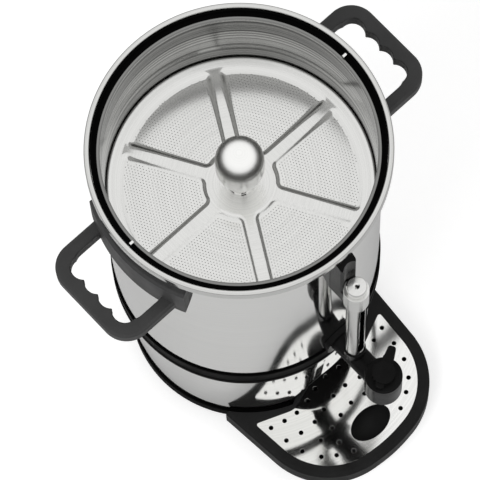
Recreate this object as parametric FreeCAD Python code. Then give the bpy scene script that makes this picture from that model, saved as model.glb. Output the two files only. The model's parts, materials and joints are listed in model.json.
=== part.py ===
import FreeCAD, Part
import math
import os
from FreeCAD import Vector

# Coffee urn with a front tap, a sight gauge, a drip tray and a percolator set.
# Sizes are millimetres. Z is the urn's own axis and z = 0 is the worktop.
# The tap and the tray face the front, which is -Y, and the handles lie on X.

# Fits
SEAT = 0.3             # radial play of a turned piece in its seat
SLIP = 0.6             # play round a piece that lifts or slides out

# Main sizes, which the places of the other pieces follow
RIM_HEIGHT = 520.0     # top of the rolled rim above the worktop
BODY_RADIUS = 139.5    # outside of the polished shell

# Rim and lid seat
RIM_OVERHANG = 10.5    # rolled rim outside the shell
RIM_WIDTH = 5.7        # radial width of the rolled rim
RIM_DEPTH = 12.0       # height of the rolled rim
WEB = 1.2              # flat flange below the rolled rim
COLLAR_FLOOR = 2.0     # thickness of the lid seat floor
COLLAR_WALL = 1.7      # thickness of the lid seat wall
COLLAR_DROP = 2.5      # lid seat wall below the rim top
LUG_RADIUS = 1.9       # lid bayonet pin
LUG_LENGTH = 4.6

# Shell and container
SHEET = 0.9            # steel sheet of shell, skirt and container
CONTAINER_GAP = 5.0    # container's inside within the shell's outside
FLOOR_RISE = 7.5       # container floor above the belt's middle
FLOOR_BEND = 8.0       # rounding between floor and wall
LIP_WIDTH = 3.6        # container lip that lies on the lid seat
SUMP_RADIUS = 40.0     # pressed well below the riser foot
SUMP_DEPTH = 9.0

# Belt between shell and skirt
BELT_BOTTOM = 180.0
BELT_TOP = 209.0
BELT_LIP = 1.8         # how far the belt lips stand out from the shell
BELT_HOLLOW = 0.7      # depth of the band's shallow channel
BELT_EDGE = 6.0        # height of each belt lip
BELT_SLOPE = 2.0       # height of the slope beside a lip
BELT_WEB = 3.0         # web that parts shell and skirt

# Skirt and foot
SKIRT_TAPER = 12.3     # how far the skirt draws in at its foot
SKIRT_COLLAR = 13.0    # straight part behind the belt
LEDGE_HEIGHT = 20.0    # ledge that carries the skirt
FOOT_STAND = 3.0       # foot ring outside the skirt's foot
FOOT_WIDTH = 18.2      # radial width of the foot ring
FOOT_SEAT = 7.5        # width of the bottom plate's seat
FOOT_LIP = 5.0         # foot lip above the ledge
FOOT_CLEAR = 6.0       # foot ring above the worktop
PAD_RADIUS = 9.0
PAD_INSET = 8.0        # pad centres outside the foot ring's bore
PAD_ANGLES = (45, 135, 225, 315)
PLATE = 1.0            # bottom plate sheet
PLATE_SEAT = 10.0      # height of the bottom plate's seat
SCREW_RADIUS = 2.0
SCREW_HEAD_RADIUS = 3.8
SCREW_HEAD = 2.2

# Drip tray and grid, plan sizes from the middle of the grid's rear edge
GRID_INSET = 28.1      # grid's rear behind the front of the shell
GRID_HALF_BACK = 92.4  # half width at the grid's rear tips
GRID_HALF_FRONT = 84.0
TIP_BEHIND = 1.9       # rear tips behind the middle
KNEE_AHEAD = 16.0      # where the rear edge comes furthest forward
GRID_KNEE_HALF = 49.0
SHOULDER_AHEAD = 98.1
GRID_LENGTH = 108.2
GRID_TOP = 25.0
GRID_SHEET = 1.0
GRID_FLANGE = 4.0
GRID_HOLE = 2.5        # drain hole radius
OVAL_LONG = 50.0
OVAL_SHORT = 32.0
OVAL_AHEAD = 82.2      # finger hole ahead of the grid's rear
TRAY_TOP = 28.0
TRAY_BASE = 1.0
TRAY_FLOOR = 4.0
TRAY_WALL = 2.6
TRAY_RIM = 13.0        # rim outside the grid
TRAY_LEDGE = 3.5       # ledge that carries the grid
TRAY_ROUND = 5.0       # outer rounding of the rim
HORN_BEHIND = 31.4     # tray's horns behind the grid's rear
TRAY_BROW = 26.9       # middle of the rounded brow ahead of the grid's rear
BROW_RADIUS = 80.0     # rounded edges lie further out than this
SCOOP_RADIUS = 107.0   # cup recess in the base
BACK_PLAY = 0.9        # rear of the tray behind the grid
SCOOP_STRAIGHT = 42.0
SCOOP_BEND = 30.0      # rounding where the recess starts to lean
SCOOP_TOP = 93.0
SCOOP_WALL = 2.4

# Handles
HANDLE_DROP = 63.5     # handle's top below the rim
HANDLE_THICK = 16.0
HANDLE_STAND = 66.9    # handle's reach outside the shell
HANDLE_HALF = 58.5
HANDLE_CORNER = 27.0
HANDLE_ARM = 14.0
HANDLE_ROUND = 3.0
GRIP_PITCH = 20.0      # finger scallops
GRIP_DEPTH = 4.8
GRIP_BAR = 14.0        # bar thickness behind a scallop
GRIP_COUNT = 4
GRIP_CORNER = 17.0     # inner corners of the opening
GRIP_EASE = 1.2        # eased edges of the opening
CUSP_WIDTH = 0.6       # how far the cusps are blunted
FLANGE_THICK = 12.0
FLANGE_ANGLE = 26.5    # half angle of the mounting flange
FLANGE_DROP = 32.0     # flange's top below the rim
FLANGE_TALL = 52.0
FLANGE_ROUND = 4.0
HANDLE_SCREW_ANGLE = 16.0
HANDLE_SCREW_DROP = 58.0

# Sight gauge
GAUGE_STAND = 26.5     # gauge axis in front of the shell
GLASS_RADIUS = 6.0
GLASS_WALL = 1.2
GUARD_RADIUS = 10.0
GUARD_WALL = 1.0
GUARD_SLOT = 8.0
GUARD_RISE = 24.0      # guard's foot above the tap's axis
NUT_RADIUS = 13.0
NUT_DROP = 74.0        # nut's top below the rim
NUT_TALL = 42.0
NUT_COLLAR = 8.0       # round collar under the flats
CAP_RADIUS = 10.4
CAP_TALL = 12.0
VENT_RADIUS = 1.5
SEAL_WIDTH = 2.7       # rubber seals round the glass
SEAL_HEIGHT = 3.0
BRACKET_HALF = 10.0
BRACKET_DEPTH = 16.5   # bracket forward of the shell
BRACKET_DROP = 16.0    # bracket's top below the rim
BRACKET_TALL = 94.0
BRACKET_ARM = 22.0     # height of the arm round the nut

# Tap
TAP_RISE = 15.0        # axis of the tap's shank above the belt
SHANK_RADIUS = 11.0
BORE_RADIUS = 6.0
TAP_STAND = 69.5       # barrel axis in front of the shell
BARREL_RADIUS = 19.5
BARREL_RISE = 22.0     # barrel above the tap's axis
BARREL_SINK = 24.0     # barrel below the tap's axis
BARREL_TAPER = 8.0
SPOUT_RADIUS = 9.0
SPOUT_LENGTH = 24.0
PLUG_RADIUS = 12.0
BONNET_HEIGHT = 9.0
STEM_RADIUS = 5.0
LEVER_REACH = 30.0
LEVER_ANGLE = 29.0     # lever rest angle from +X towards the back
LEVER_THICK = 7.0
ROSE_RADIUS = 19.0     # flange against the shell
ROSE_THICK = 6.0

# Percolator set
COVER_DROP = 107.0     # cover below the rim
COVER_PLAY = 6.1       # play between cover and container
COVER_SHEET = 1.0
COVER_RING = 8.5       # flat ring outside the pans
PAN_DEPTH = 5.5
PAN_COUNT = 6
PAN_CORNER = 8.0
RIB_HALF = 3.6
HUB_RADIUS = 37.0
BASKET_INSET = 4.4     # basket wall inside the cover's edge
BASKET_HEIGHT = 93.0
BASKET_BEND = 6.0      # rounding of the basket's foot
BASKET_LIP = 3.0
BASKET_HOLE = 2.5
BASKET_RINGS = (0.29, 0.5, 0.71, 0.887)
BASKET_RING_STEP = 26.0
RISER_RADIUS = 8.0
RISER_WALL = 1.0
RISER_RISE = 65.0      # riser above the cover
RISER_COLLAR = 15.0
BELL_RADIUS = 35.0
BELL_HEIGHT = 20.0
DOME_NECK = 19.5
DOME_RADIUS = 24.5
DOME_TALL = 90.0       # dome above the cover
DOME_BULGE = 40.0      # height of its widest place
DOME_BEND = 30.0
DOME_CROWN = 21.0      # rounding of the crown
DOME_SHEET = 1.0
DOME_WINDOWS = 6

# Electrical parts in the base
HEATER_OUTER = 36.0
HEATER_INNER = 10.0
HEATER_THICK = 16.0
WARMER_OUTER = 104.0
WARMER_INNER = 66.0
WARMER_THICK = 5.0
CLAMP_HALF = 48.0
CLAMP_THICK = 3.0
ROD_RADIUS = 3.0
ROD_NUT_RADIUS = 6.0
ROD_NUT_TALL = 4.0
CUTOUT_RADIUS = 10.0
CUTOUT_TALL = 9.0
CUTOUT_CIRCLE = 52.0   # thermostats between the two heaters
CUTOUT_ANGLES = (40, 140)
TAG_HALF = 12.0        # connection tags of a thermostat
TAG_WIDE = 6.0
TAG_THICK = 2.0
BLOCK_WIDE = 48.0      # terminal block
BLOCK_DEEP = 18.0
BLOCK_TALL = 16.0
BLOCK_AT = 61.0
BLOCK_PITCH = 15.0
FITTING_DEPTH = 24.0   # switch and inlet behind the skirt
FITTING_STAND = 6.0    # their openings in front of it
SWITCH_ANGLE = -28.0
SWITCH_HEIGHT = 104.0
SWITCH_WIDE = 26.0
SWITCH_TALL = 36.0
SWITCH_RIM = 3.0       # frame round the rocker
SWITCH_FRONT = 5.5     # frame in front of the skirt
SWITCH_DEPTH = 14.0    # well behind the rocker
ROCKER_TILT = 9.0      # rocker's rest angle, half of its travel
ROCKER_BACK = 7.0      # rocker behind its pivot
ROCKER_FACE = 6.5      # rocker's raised ends in front of its pivot
ROCKER_DISH = 2.1      # how far its face is dished
ROCKER_SINK = 5.0      # pivot behind the frame's front
PIVOT_RADIUS = 2.0
PIVOT_REACH = 1.5      # pivot pin in the frame's wall
LAMP_RADIUS = 5.0
LAMP_LENGTH = 16.0
LAMP_PROUD = 4.0       # lens in front of the skirt
LAMP_STEP = 34.0       # lamps above the switch
LAMP_SPREAD = 7.0      # angle between the lamps
INLET_HEIGHT = 62.0
INLET_WIDE = 30.0
INLET_TALL = 24.0
INLET_FRONT = 3.5      # inlet in front of the skirt
INLET_DEPTH = 16.0     # mouth of the inlet
PIN_LENGTH = 12.0

# Heights and radii that follow from the sizes above
RIM_RADIUS = BODY_RADIUS + RIM_OVERHANG
RIM_INNER = RIM_RADIUS - RIM_WIDTH
WEB_BOTTOM = RIM_HEIGHT - RIM_DEPTH
WEB_TOP = WEB_BOTTOM + WEB
BELT_MIDDLE = (BELT_TOP + BELT_BOTTOM) / 2
WEB_HALF = BELT_WEB / 2
CONTAINER_RADIUS = BODY_RADIUS - CONTAINER_GAP
CONTAINER_OUTER = CONTAINER_RADIUS + SHEET
CONTAINER_FLOOR = BELT_MIDDLE + FLOOR_RISE
COLLAR_INNER = CONTAINER_OUTER + 1.0
COLLAR_TOP = RIM_HEIGHT - COLLAR_DROP
LIP_SEAT = WEB_TOP + COLLAR_FLOOR
SKIRT_FOOT_RADIUS = BODY_RADIUS - SKIRT_TAPER
FOOT_RADIUS = SKIRT_FOOT_RADIUS + FOOT_STAND
FOOT_INNER = FOOT_RADIUS - FOOT_WIDTH
PAD_CIRCLE = FOOT_INNER + PAD_INSET
GRID_BACK = BODY_RADIUS - GRID_INSET
GRID_TIP = GRID_BACK - TIP_BEHIND
GRID_KNEE = GRID_BACK + KNEE_AHEAD
GRID_SHOULDER = GRID_BACK + SHOULDER_AHEAD
GRID_FRONT = GRID_BACK + GRID_LENGTH
GRID_SEAT = GRID_TOP - GRID_FLANGE
OVAL_AT = GRID_BACK + OVAL_AHEAD
TRAY_HORN = GRID_BACK - HORN_BEHIND
SCOOP_AXIS = GRID_BACK - BACK_PLAY + SCOOP_RADIUS
SCOOP_INNER = SCOOP_RADIUS + SLIP
HANDLE_TOP = RIM_HEIGHT - HANDLE_DROP
HANDLE_REACH = BODY_RADIUS + HANDLE_STAND
HANDLE_SCREW_HEIGHT = RIM_HEIGHT - HANDLE_SCREW_DROP
FLANGE_TOP = RIM_HEIGHT - FLANGE_DROP
FLANGE_BOTTOM = FLANGE_TOP - FLANGE_TALL
TAP_HEIGHT = BELT_TOP + TAP_RISE
TAP_AT = BODY_RADIUS + TAP_STAND
BARREL_TOP = TAP_HEIGHT + BARREL_RISE
BARREL_BOTTOM = TAP_HEIGHT - BARREL_SINK
SPOUT_BOTTOM = BARREL_BOTTOM - SPOUT_LENGTH
GAUGE_AT = BODY_RADIUS + GAUGE_STAND
GUARD_BOTTOM = TAP_HEIGHT + GUARD_RISE
NUT_TOP = RIM_HEIGHT - NUT_DROP
GUARD_TOP = NUT_TOP - NUT_TALL
CAP_TOP = NUT_TOP + CAP_TALL
BRACKET_TOP = RIM_HEIGHT - BRACKET_DROP
BRACKET_BOTTOM = BRACKET_TOP - BRACKET_TALL
COVER_HEIGHT = RIM_HEIGHT - COVER_DROP
COVER_RADIUS = CONTAINER_RADIUS - COVER_PLAY
BASKET_RADIUS = COVER_RADIUS - BASKET_INSET
RISER_TOP = COVER_HEIGHT + RISER_RISE
DOME_TOP = COVER_HEIGHT + DOME_TALL


def skirt_radius(z):
    """Outer radius of the tapered skirt at height z."""
    top = BELT_MIDDLE - WEB_HALF - SKIRT_COLLAR
    share = (z - LEDGE_HEIGHT) / (top - LEDGE_HEIGHT)
    share = max(0.0, min(1.0, share))
    return SKIRT_FOOT_RADIUS + share * (BODY_RADIUS - SKIRT_FOOT_RADIUS)


def outline(corners):
    """Closed wire in XY through corners (x, y, rounding)."""
    count = len(corners)
    bends = []
    for i in range(count):
        here = Vector(corners[i][0], corners[i][1], 0)
        before = Vector(corners[i - 1][0], corners[i - 1][1], 0) - here
        after = Vector(corners[(i + 1) % count][0], corners[(i + 1) % count][1], 0) - here
        radius = corners[i][2] if len(corners[i]) > 2 else 0
        if radius == 0:
            bends.append((here, None, here))
            continue
        before.normalize()
        after.normalize()
        half = before.getAngle(after) / 2
        reach = radius / math.tan(half)
        inward = (before + after).normalize()
        centre = here + inward * (radius / math.sin(half))
        middle = centre - inward * radius
        bends.append((here + before * reach, middle, here + after * reach))
    edges = []
    for i in range(count):
        start, middle, end = bends[i]
        if middle is not None:
            edges.append(Part.Arc(start, middle, end).toShape())
        following = bends[(i + 1) % count][0]
        if end.distanceToPoint(following) > 1e-6:
            edges.append(Part.LineSegment(end, following).toShape())
    return Part.Wire(edges)


def turned(corners, angle=360.0):
    """Solid turned about Z from corners (radius, height, rounding)."""
    wire = outline(corners)
    wire.rotate(Vector(0, 0, 0), Vector(1, 0, 0), 90)
    return Part.Face(wire).revolve(Vector(0, 0, 0), Vector(0, 0, 1), angle)


def prism(wire, low, high):
    """Upright solid from a plan outline between two heights."""
    face = Part.Face(wire)
    face.translate(Vector(0, 0, low))
    return face.extrude(Vector(0, 0, high - low))


def rod(radius, low, high, x=0.0, y=0.0):
    """Upright round bar."""
    return Part.makeCylinder(radius, high - low, Vector(x, y, low))


def pipe(outer, inner, low, high, x=0.0, y=0.0):
    """Upright round tube."""
    return rod(outer, low, high, x, y).cut(rod(inner, low, high, x, y))


def forward_rod(radius, near, far, height, x=0.0):
    """Round bar that lies along the front direction."""
    return Part.makeCylinder(radius, far - near, Vector(x, -near, height), Vector(0, -1, 0))


def outward_rod(radius, near, length, height):
    """Round bar that lies along +X from a distance near the urn axis."""
    return Part.makeCylinder(radius, length, Vector(near, 0, height), Vector(1, 0, 0))


def block(x0, x1, y0, y1, z0, z1):
    """Plain box between two corners."""
    return Part.makeBox(x1 - x0, y1 - y0, z1 - z0, Vector(x0, y0, z0))


def hexagon(reach):
    """Plan outline of a hexagon nut."""
    corners = []
    for step in range(6):
        angle = math.radians(60 * step)
        corners.append((reach * math.cos(angle), reach * math.sin(angle)))
    return outline(corners)


def pad_places():
    """Centres of the four feet."""
    places = []
    for angle in PAD_ANGLES:
        turn = math.radians(angle)
        places.append((PAD_CIRCLE * math.cos(turn), PAD_CIRCLE * math.sin(turn)))
    return places


def spun(shape, degrees):
    """Copy of a shape turned about the urn axis."""
    copy = shape.copy()
    copy.rotate(Vector(0, 0, 0), Vector(0, 0, 1), degrees)
    return copy


def grown(wire, distance):
    """Plan outline moved outwards, or inwards when negative."""
    return wire.makeOffset2D(distance)


def keep(name, *solids):
    """Write one node, as one solid or as a group of like solids."""
    shape = solids[0] if len(solids) == 1 else Part.makeCompound(list(solids))
    shape.exportStep("parts/" + name + ".step")
    found = len(shape.Solids)
    print(name, "solids", found, "valid", shape.isValid(), "volume", round(shape.Volume))


# Rim, lid seat and walls

def rim_bead():
    return turned([
        (RIM_INNER, RIM_HEIGHT, 2.4),
        (RIM_RADIUS, RIM_HEIGHT, 2.8),
        (RIM_RADIUS, WEB_BOTTOM, 1.0),
        (COLLAR_INNER, WEB_BOTTOM),
        (COLLAR_INNER, WEB_TOP),
        (RIM_INNER, WEB_TOP),
    ])


def lid_seat():
    outer = RIM_INNER - SEAT
    return turned([
        (COLLAR_INNER, WEB_TOP),
        (outer, WEB_TOP),
        (outer, COLLAR_TOP, 0.6),
        (outer - COLLAR_WALL, COLLAR_TOP, 0.6),
        (outer - COLLAR_WALL, LIP_SEAT, 1.0),
        (COLLAR_INNER, LIP_SEAT),
    ])


def lid_lugs():
    face = RIM_INNER - SEAT - COLLAR_WALL
    height = (COLLAR_TOP + LIP_SEAT) / 2 + 1.0
    lug = outward_rod(LUG_RADIUS, face - LUG_LENGTH, LUG_LENGTH, height)
    return [lug, spun(lug, 180)]


def outer_shell():
    inner = BODY_RADIUS - SHEET
    shell = pipe(BODY_RADIUS, inner, BELT_MIDDLE + WEB_HALF, WEB_BOTTOM)
    holes = forward_rod(SHANK_RADIUS + SEAT, inner - 5, BODY_RADIUS + 5, TAP_HEIGHT)
    for side in (0, 180):
        for angle in (-HANDLE_SCREW_ANGLE, HANDLE_SCREW_ANGLE):
            hole = outward_rod(SCREW_RADIUS + SEAT, inner - 4, 10, HANDLE_SCREW_HEIGHT)
            holes = holes.fuse(spun(hole, side + angle))
    return shell.cut(holes)


def inner_container():
    low = CONTAINER_FLOOR - SHEET
    sump = CONTAINER_FLOOR - SUMP_DEPTH
    vessel = turned([
        (0, sump),
        (SUMP_RADIUS - 2, sump, 3.0),
        (SUMP_RADIUS, CONTAINER_FLOOR, 3.0),
        (CONTAINER_RADIUS, CONTAINER_FLOOR, FLOOR_BEND),
        (CONTAINER_RADIUS, LIP_SEAT + SHEET, 0.6),
        (CONTAINER_RADIUS + LIP_WIDTH, LIP_SEAT + SHEET, 0.4),
        (CONTAINER_RADIUS + LIP_WIDTH, LIP_SEAT),
        (CONTAINER_OUTER, LIP_SEAT),
        (CONTAINER_OUTER, low, FLOOR_BEND + SHEET),
        (SUMP_RADIUS + SHEET, low, 2.0),
        (SUMP_RADIUS - 2 + SHEET, sump - SHEET, 3.0),
        (0, sump - SHEET),
    ])
    hole = forward_rod(SHANK_RADIUS + SEAT, CONTAINER_RADIUS - 5, CONTAINER_OUTER + 3, TAP_HEIGHT)
    return vessel.cut(hole)


def belt_ring():
    fit = BODY_RADIUS + SEAT
    edge = BODY_RADIUS + BELT_LIP
    face = edge - BELT_HOLLOW
    web_low = BELT_MIDDLE - WEB_HALF
    web_high = BELT_MIDDLE + WEB_HALF
    return turned([
        (fit, BELT_BOTTOM),
        (edge, BELT_BOTTOM, 0.8),
        (edge, BELT_BOTTOM + BELT_EDGE, 0.6),
        (face, BELT_BOTTOM + BELT_EDGE + BELT_SLOPE, 0.6),
        (face, BELT_TOP - BELT_EDGE - BELT_SLOPE, 0.6),
        (edge, BELT_TOP - BELT_EDGE, 0.6),
        (edge, BELT_TOP, 0.8),
        (fit, BELT_TOP),
        (fit, web_high),
        (COLLAR_INNER, web_high),
        (COLLAR_INNER, web_low),
        (fit, web_low),
    ])


def scoop(extra, low, high):
    """Cup recess, a round scoop whose roof leans forward, grown by extra."""
    roof = SCOOP_AXIS - skirt_radius(SCOOP_TOP)
    body = turned([
        (0, low),
        (SCOOP_INNER + extra, low),
        (SCOOP_INNER + extra, SCOOP_STRAIGHT, SCOOP_BEND),
        (roof + extra, high),
        (0, high),
    ])
    body.translate(Vector(0, -SCOOP_AXIS, 0))
    return body


def base_skirt():
    top = BELT_MIDDLE - WEB_HALF
    bend = top - SKIRT_COLLAR
    skirt = turned([
        (BODY_RADIUS, top),
        (BODY_RADIUS, bend),
        (SKIRT_FOOT_RADIUS, LEDGE_HEIGHT),
        (SKIRT_FOOT_RADIUS - SHEET, LEDGE_HEIGHT),
        (BODY_RADIUS - SHEET, bend),
        (BODY_RADIUS - SHEET, top),
    ])
    skirt = skirt.cut(scoop(SCOOP_WALL, 0, SCOOP_TOP))
    skirt = skirt.cut(switch_body(SEAT))
    skirt = skirt.cut(inlet_body(SEAT))
    for lamp in lamp_stems(SEAT):
        skirt = skirt.cut(lamp)
    return skirt


def foot_ring():
    lip = SKIRT_FOOT_RADIUS + 0.75
    ring = turned([
        (FOOT_INNER, FOOT_CLEAR),
        (FOOT_RADIUS - 1.6, FOOT_CLEAR, 1.5),
        (FOOT_RADIUS, FOOT_CLEAR + 4, 2.0),
        (FOOT_RADIUS - 0.4, LEDGE_HEIGHT + FOOT_LIP, 0.8),
        (lip, LEDGE_HEIGHT + FOOT_LIP),
        (lip, LEDGE_HEIGHT),
        (FOOT_INNER + FOOT_SEAT, LEDGE_HEIGHT),
        (FOOT_INNER + FOOT_SEAT, PLATE_SEAT),
        (FOOT_INNER, PLATE_SEAT),
    ])
    ring = ring.cut(scoop(SCOOP_WALL, 0, SCOOP_TOP))
    for x, y in pad_places():
        ring = ring.cut(rod(SCREW_RADIUS + SEAT, FOOT_CLEAR - 1, LEDGE_HEIGHT + 1, x, y))
    return ring


def recess_panel():
    """Black liner of the cup recess, inside the skirt's mouth."""
    liner = scoop(SCOOP_WALL, FOOT_CLEAR, SCOOP_TOP).cut(scoop(0, 0, SCOOP_TOP - SCOOP_WALL))
    cone = turned([
        (0, 0),
        (SKIRT_FOOT_RADIUS - SHEET, 0),
        (SKIRT_FOOT_RADIUS - SHEET, LEDGE_HEIGHT),
        (skirt_radius(SCOOP_TOP) - SHEET, SCOOP_TOP),
        (0, SCOOP_TOP),
    ])
    liner = liner.common(cone)
    return max(liner.Solids, key=lambda solid: solid.Volume)


def bottom_plate():
    plate = rod(FOOT_INNER + FOOT_SEAT - SEAT, PLATE_SEAT, PLATE_SEAT + PLATE)
    plate = plate.cut(scoop(SCOOP_WALL + SEAT, 0, SCOOP_TOP))
    plate = plate.cut(rod(ROD_RADIUS + SEAT, 0, LEDGE_HEIGHT))
    for x, y in pad_places():
        plate = plate.cut(rod(SCREW_RADIUS + SEAT, 0, LEDGE_HEIGHT, x, y))
    for step in range(8):
        slot = block(54, 84, -1.6, 1.6, 0, LEDGE_HEIGHT)
        if step not in (5, 6, 7):
            plate = plate.cut(spun(slot, step * 36 - 18))
    return plate


def foot_pads():
    pads = []
    for x, y in pad_places():
        pad = turned([
            (SCREW_RADIUS + SEAT, 0),
            (PAD_RADIUS - 1, 0, 1.0),
            (PAD_RADIUS, FOOT_CLEAR),
            (SCREW_RADIUS + SEAT, FOOT_CLEAR),
        ])
        pad = pad.cut(rod(SCREW_HEAD_RADIUS + SEAT, -1, SCREW_HEAD + 1))
        pad.translate(Vector(x, y, 0))
        pads.append(pad)
    return pads


def foot_screws():
    screws = []
    for x, y in pad_places():
        head = rod(SCREW_HEAD_RADIUS, 1.0, 1.0 + SCREW_HEAD, x, y)
        screws.append(head.fuse(rod(SCREW_RADIUS, 1.0, LEDGE_HEIGHT - 1, x, y)))
    return screws


# Tray

def tray_lead(extra):
    """Front and flanks of the grid outline, grown by extra, open to the rear."""
    slope = (GRID_HALF_BACK - GRID_HALF_FRONT) / (GRID_SHOULDER - GRID_TIP)
    back = GRID_TIP - 60
    half = GRID_HALF_BACK + slope * 60
    wire = outline([
        (-half, -back),
        (-GRID_HALF_FRONT, -GRID_SHOULDER, 72.0),
        (0, -GRID_FRONT, 160.0),
        (GRID_HALF_FRONT, -GRID_SHOULDER, 72.0),
        (half, -back),
    ])
    return grown(wire, extra) if extra else wire


def grid_outline():
    return outline([
        (-GRID_HALF_BACK, -GRID_TIP, 2.5),
        (-GRID_HALF_FRONT, -GRID_SHOULDER, 72.0),
        (0, -GRID_FRONT, 160.0),
        (GRID_HALF_FRONT, -GRID_SHOULDER, 72.0),
        (GRID_HALF_BACK, -GRID_TIP, 2.5),
        (GRID_KNEE_HALF, -GRID_KNEE, 22.0),
        (0, -GRID_BACK, 80.0),
        (-GRID_KNEE_HALF, -GRID_KNEE, 22.0),
    ])


def oval(extra, low, high):
    ellipse = Part.Ellipse(Vector(0, -OVAL_AT, 0), OVAL_LONG / 2 + extra, OVAL_SHORT / 2 + extra)
    return prism(Part.Wire(ellipse.toShape()), low, high)


def hole_places():
    """Drain hole rows that follow the wave of the grid's rear edge."""
    wave = 8.6
    rows = [
        (11.2, (0.0, 17.5, 33.0, 50.5, 66.5, 82.5)),
        (32.2, (8.7, 26.6, 43.4, 62.5, 80.0)),
        (51.6, (0.0, 17.6, 34.4, 52.6, 75.6)),
        (67.1, (39.8, 64.8)),
        (75.2, (51.6,)),
        (85.8, (34.8,)),
    ]
    places = []
    for ahead, spread in rows:
        for half in spread:
            bend = wave / 2 * (1 - math.cos(math.pi * half / GRID_KNEE_HALF))
            y = -(GRID_BACK + ahead + bend)
            for side in ((1,) if half == 0 else (1, -1)):
                places.append((side * half, y))
    return places


def drip_grid():
    edge = grid_outline()
    plate = prism(edge, GRID_TOP - GRID_SHEET, GRID_TOP)
    skirt = prism(edge, GRID_SEAT, GRID_TOP).cut(prism(grown(edge, -GRID_SHEET), 0, TRAY_TOP))
    grid = plate.fuse(skirt)
    grid = grid.fuse(oval(GRID_SHEET, GRID_TOP - 3, GRID_TOP)).cut(oval(0, 0, TRAY_TOP))
    for x, y in hole_places():
        grid = grid.cut(rod(GRID_HOLE, 0, TRAY_TOP, x, y))
    return grid.removeSplitter()


def tray_plan(extra, low, high):
    """Tray body in plan: a D in front of the foot ring, with a bulge into the recess."""
    body = prism(tray_lead(TRAY_RIM + extra), low, high)
    wide = 2 * GRID_HALF_BACK
    body = body.cut(block(-wide, wide, -TRAY_HORN - extra, 0, low - 1, high + 1))
    away = rod(FOOT_RADIUS + SLIP - extra, low - 1, high + 1)
    bulge = rod(SCOOP_RADIUS + extra, low - 1, high + 1, 0, -SCOOP_AXIS)
    return body.cut(away.cut(bulge))


def drip_tray():
    tray = tray_plan(0, TRAY_BASE, TRAY_TOP)
    rounded = []
    for edge in tray.Edges:
        low = min(vertex.Z for vertex in edge.Vertexes)
        middle = edge.CenterOfMass
        brow = math.hypot(middle.x, middle.y + GRID_BACK + TRAY_BROW) > BROW_RADIUS
        ahead = middle.y < -TRAY_HORN - 3 and math.hypot(middle.x, middle.y) > FOOT_RADIUS + 8
        if low > TRAY_TOP - 0.01 and brow and ahead:
            rounded.append(edge)
    tray = tray.makeFillet(TRAY_ROUND, rounded)
    edge = grid_outline()
    pocket = prism(grown(edge, -TRAY_LEDGE), TRAY_FLOOR, TRAY_TOP + 1)
    recess = prism(grown(edge, SLIP), GRID_SEAT, TRAY_TOP + 1)
    under = tray_plan(-TRAY_WALL, TRAY_BASE - 1, GRID_SEAT - TRAY_WALL)
    under = under.cut(prism(grown(edge, TRAY_WALL - TRAY_LEDGE), TRAY_BASE - 2, TRAY_TOP))
    return tray.cut(pocket).cut(recess).cut(under)


# Handles

def grip_opening(low, high):
    """Finger opening between the arms, its edges eased at both faces."""
    half = HANDLE_HALF - HANDLE_ARM
    bottom = HANDLE_REACH - GRIP_BAR
    crest = bottom - GRIP_DEPTH + CUSP_WIDTH
    ease = GRIP_EASE

    def mouth(extra, height):
        wire = outline([
            (BODY_RADIUS, -half - extra),
            (crest + extra, -half - extra, GRIP_CORNER + extra),
            (crest + extra, half + extra, GRIP_CORNER + extra),
            (BODY_RADIUS, half + extra),
        ])
        wire.translate(Vector(0, 0, height))
        return wire

    opening = Part.makeLoft([mouth(0, low + ease), mouth(0, high - ease)], True, True)
    upper = Part.makeLoft([mouth(0, high - ease), mouth(2 * ease, high + ease)], True, True)
    lower = Part.makeLoft([mouth(2 * ease, low - ease), mouth(0, low + ease)], True, True)
    scallop = ((GRIP_PITCH / 2) ** 2 + GRIP_DEPTH ** 2) / (2 * GRIP_DEPTH)
    cuts = [upper, lower]
    for step in range(GRIP_COUNT):
        y = (step - (GRIP_COUNT - 1) / 2) * GRIP_PITCH
        x = bottom - scallop
        cuts.append(rod(scallop, low - 1, high + 1, x, y))
        cuts.append(Part.makeCone(scallop, scallop + 2 * ease, 2 * ease, Vector(x, y, high - ease)))
        cuts.append(Part.makeCone(scallop + 2 * ease, scallop, 2 * ease, Vector(x, y, low - ease)))
    return opening.fuse(cuts)


def handle():
    """Right handle with its curved mounting flange."""
    low = HANDLE_TOP - HANDLE_THICK
    inner = BODY_RADIUS + SEAT
    face = inner + FLANGE_THICK
    start = BODY_RADIUS / 2
    loop = prism(outline([
        (start, -HANDLE_HALF),
        (HANDLE_REACH, -HANDLE_HALF, HANDLE_CORNER),
        (HANDLE_REACH, HANDLE_HALF, HANDLE_CORNER),
        (start, HANDLE_HALF),
    ]), low, HANDLE_TOP)
    rims = []
    for edge in loop.Edges:
        flat = abs(edge.Vertexes[0].Z - edge.Vertexes[-1].Z) < 0.01
        if flat and edge.CenterOfMass.x > start + 1:
            rims.append(edge)
    loop = loop.makeFillet(HANDLE_ROUND, rims)
    loop = loop.cut(rod(inner, low - 1, HANDLE_TOP + 1)).cut(grip_opening(low, HANDLE_TOP))
    flange = turned([
        (inner, FLANGE_BOTTOM),
        (face, FLANGE_BOTTOM, FLANGE_ROUND),
        (face, FLANGE_TOP, FLANGE_ROUND),
        (inner, FLANGE_TOP),
    ], 2 * FLANGE_ANGLE)
    flange = spun(flange, -FLANGE_ANGLE)
    whole = flange.fuse(loop)
    for angle in (-HANDLE_SCREW_ANGLE, HANDLE_SCREW_ANGLE):
        hole = outward_rod(SCREW_RADIUS, inner - 1, FLANGE_THICK - 2, HANDLE_SCREW_HEIGHT)
        whole = whole.cut(spun(hole, angle))
    return whole.removeSplitter()


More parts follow.
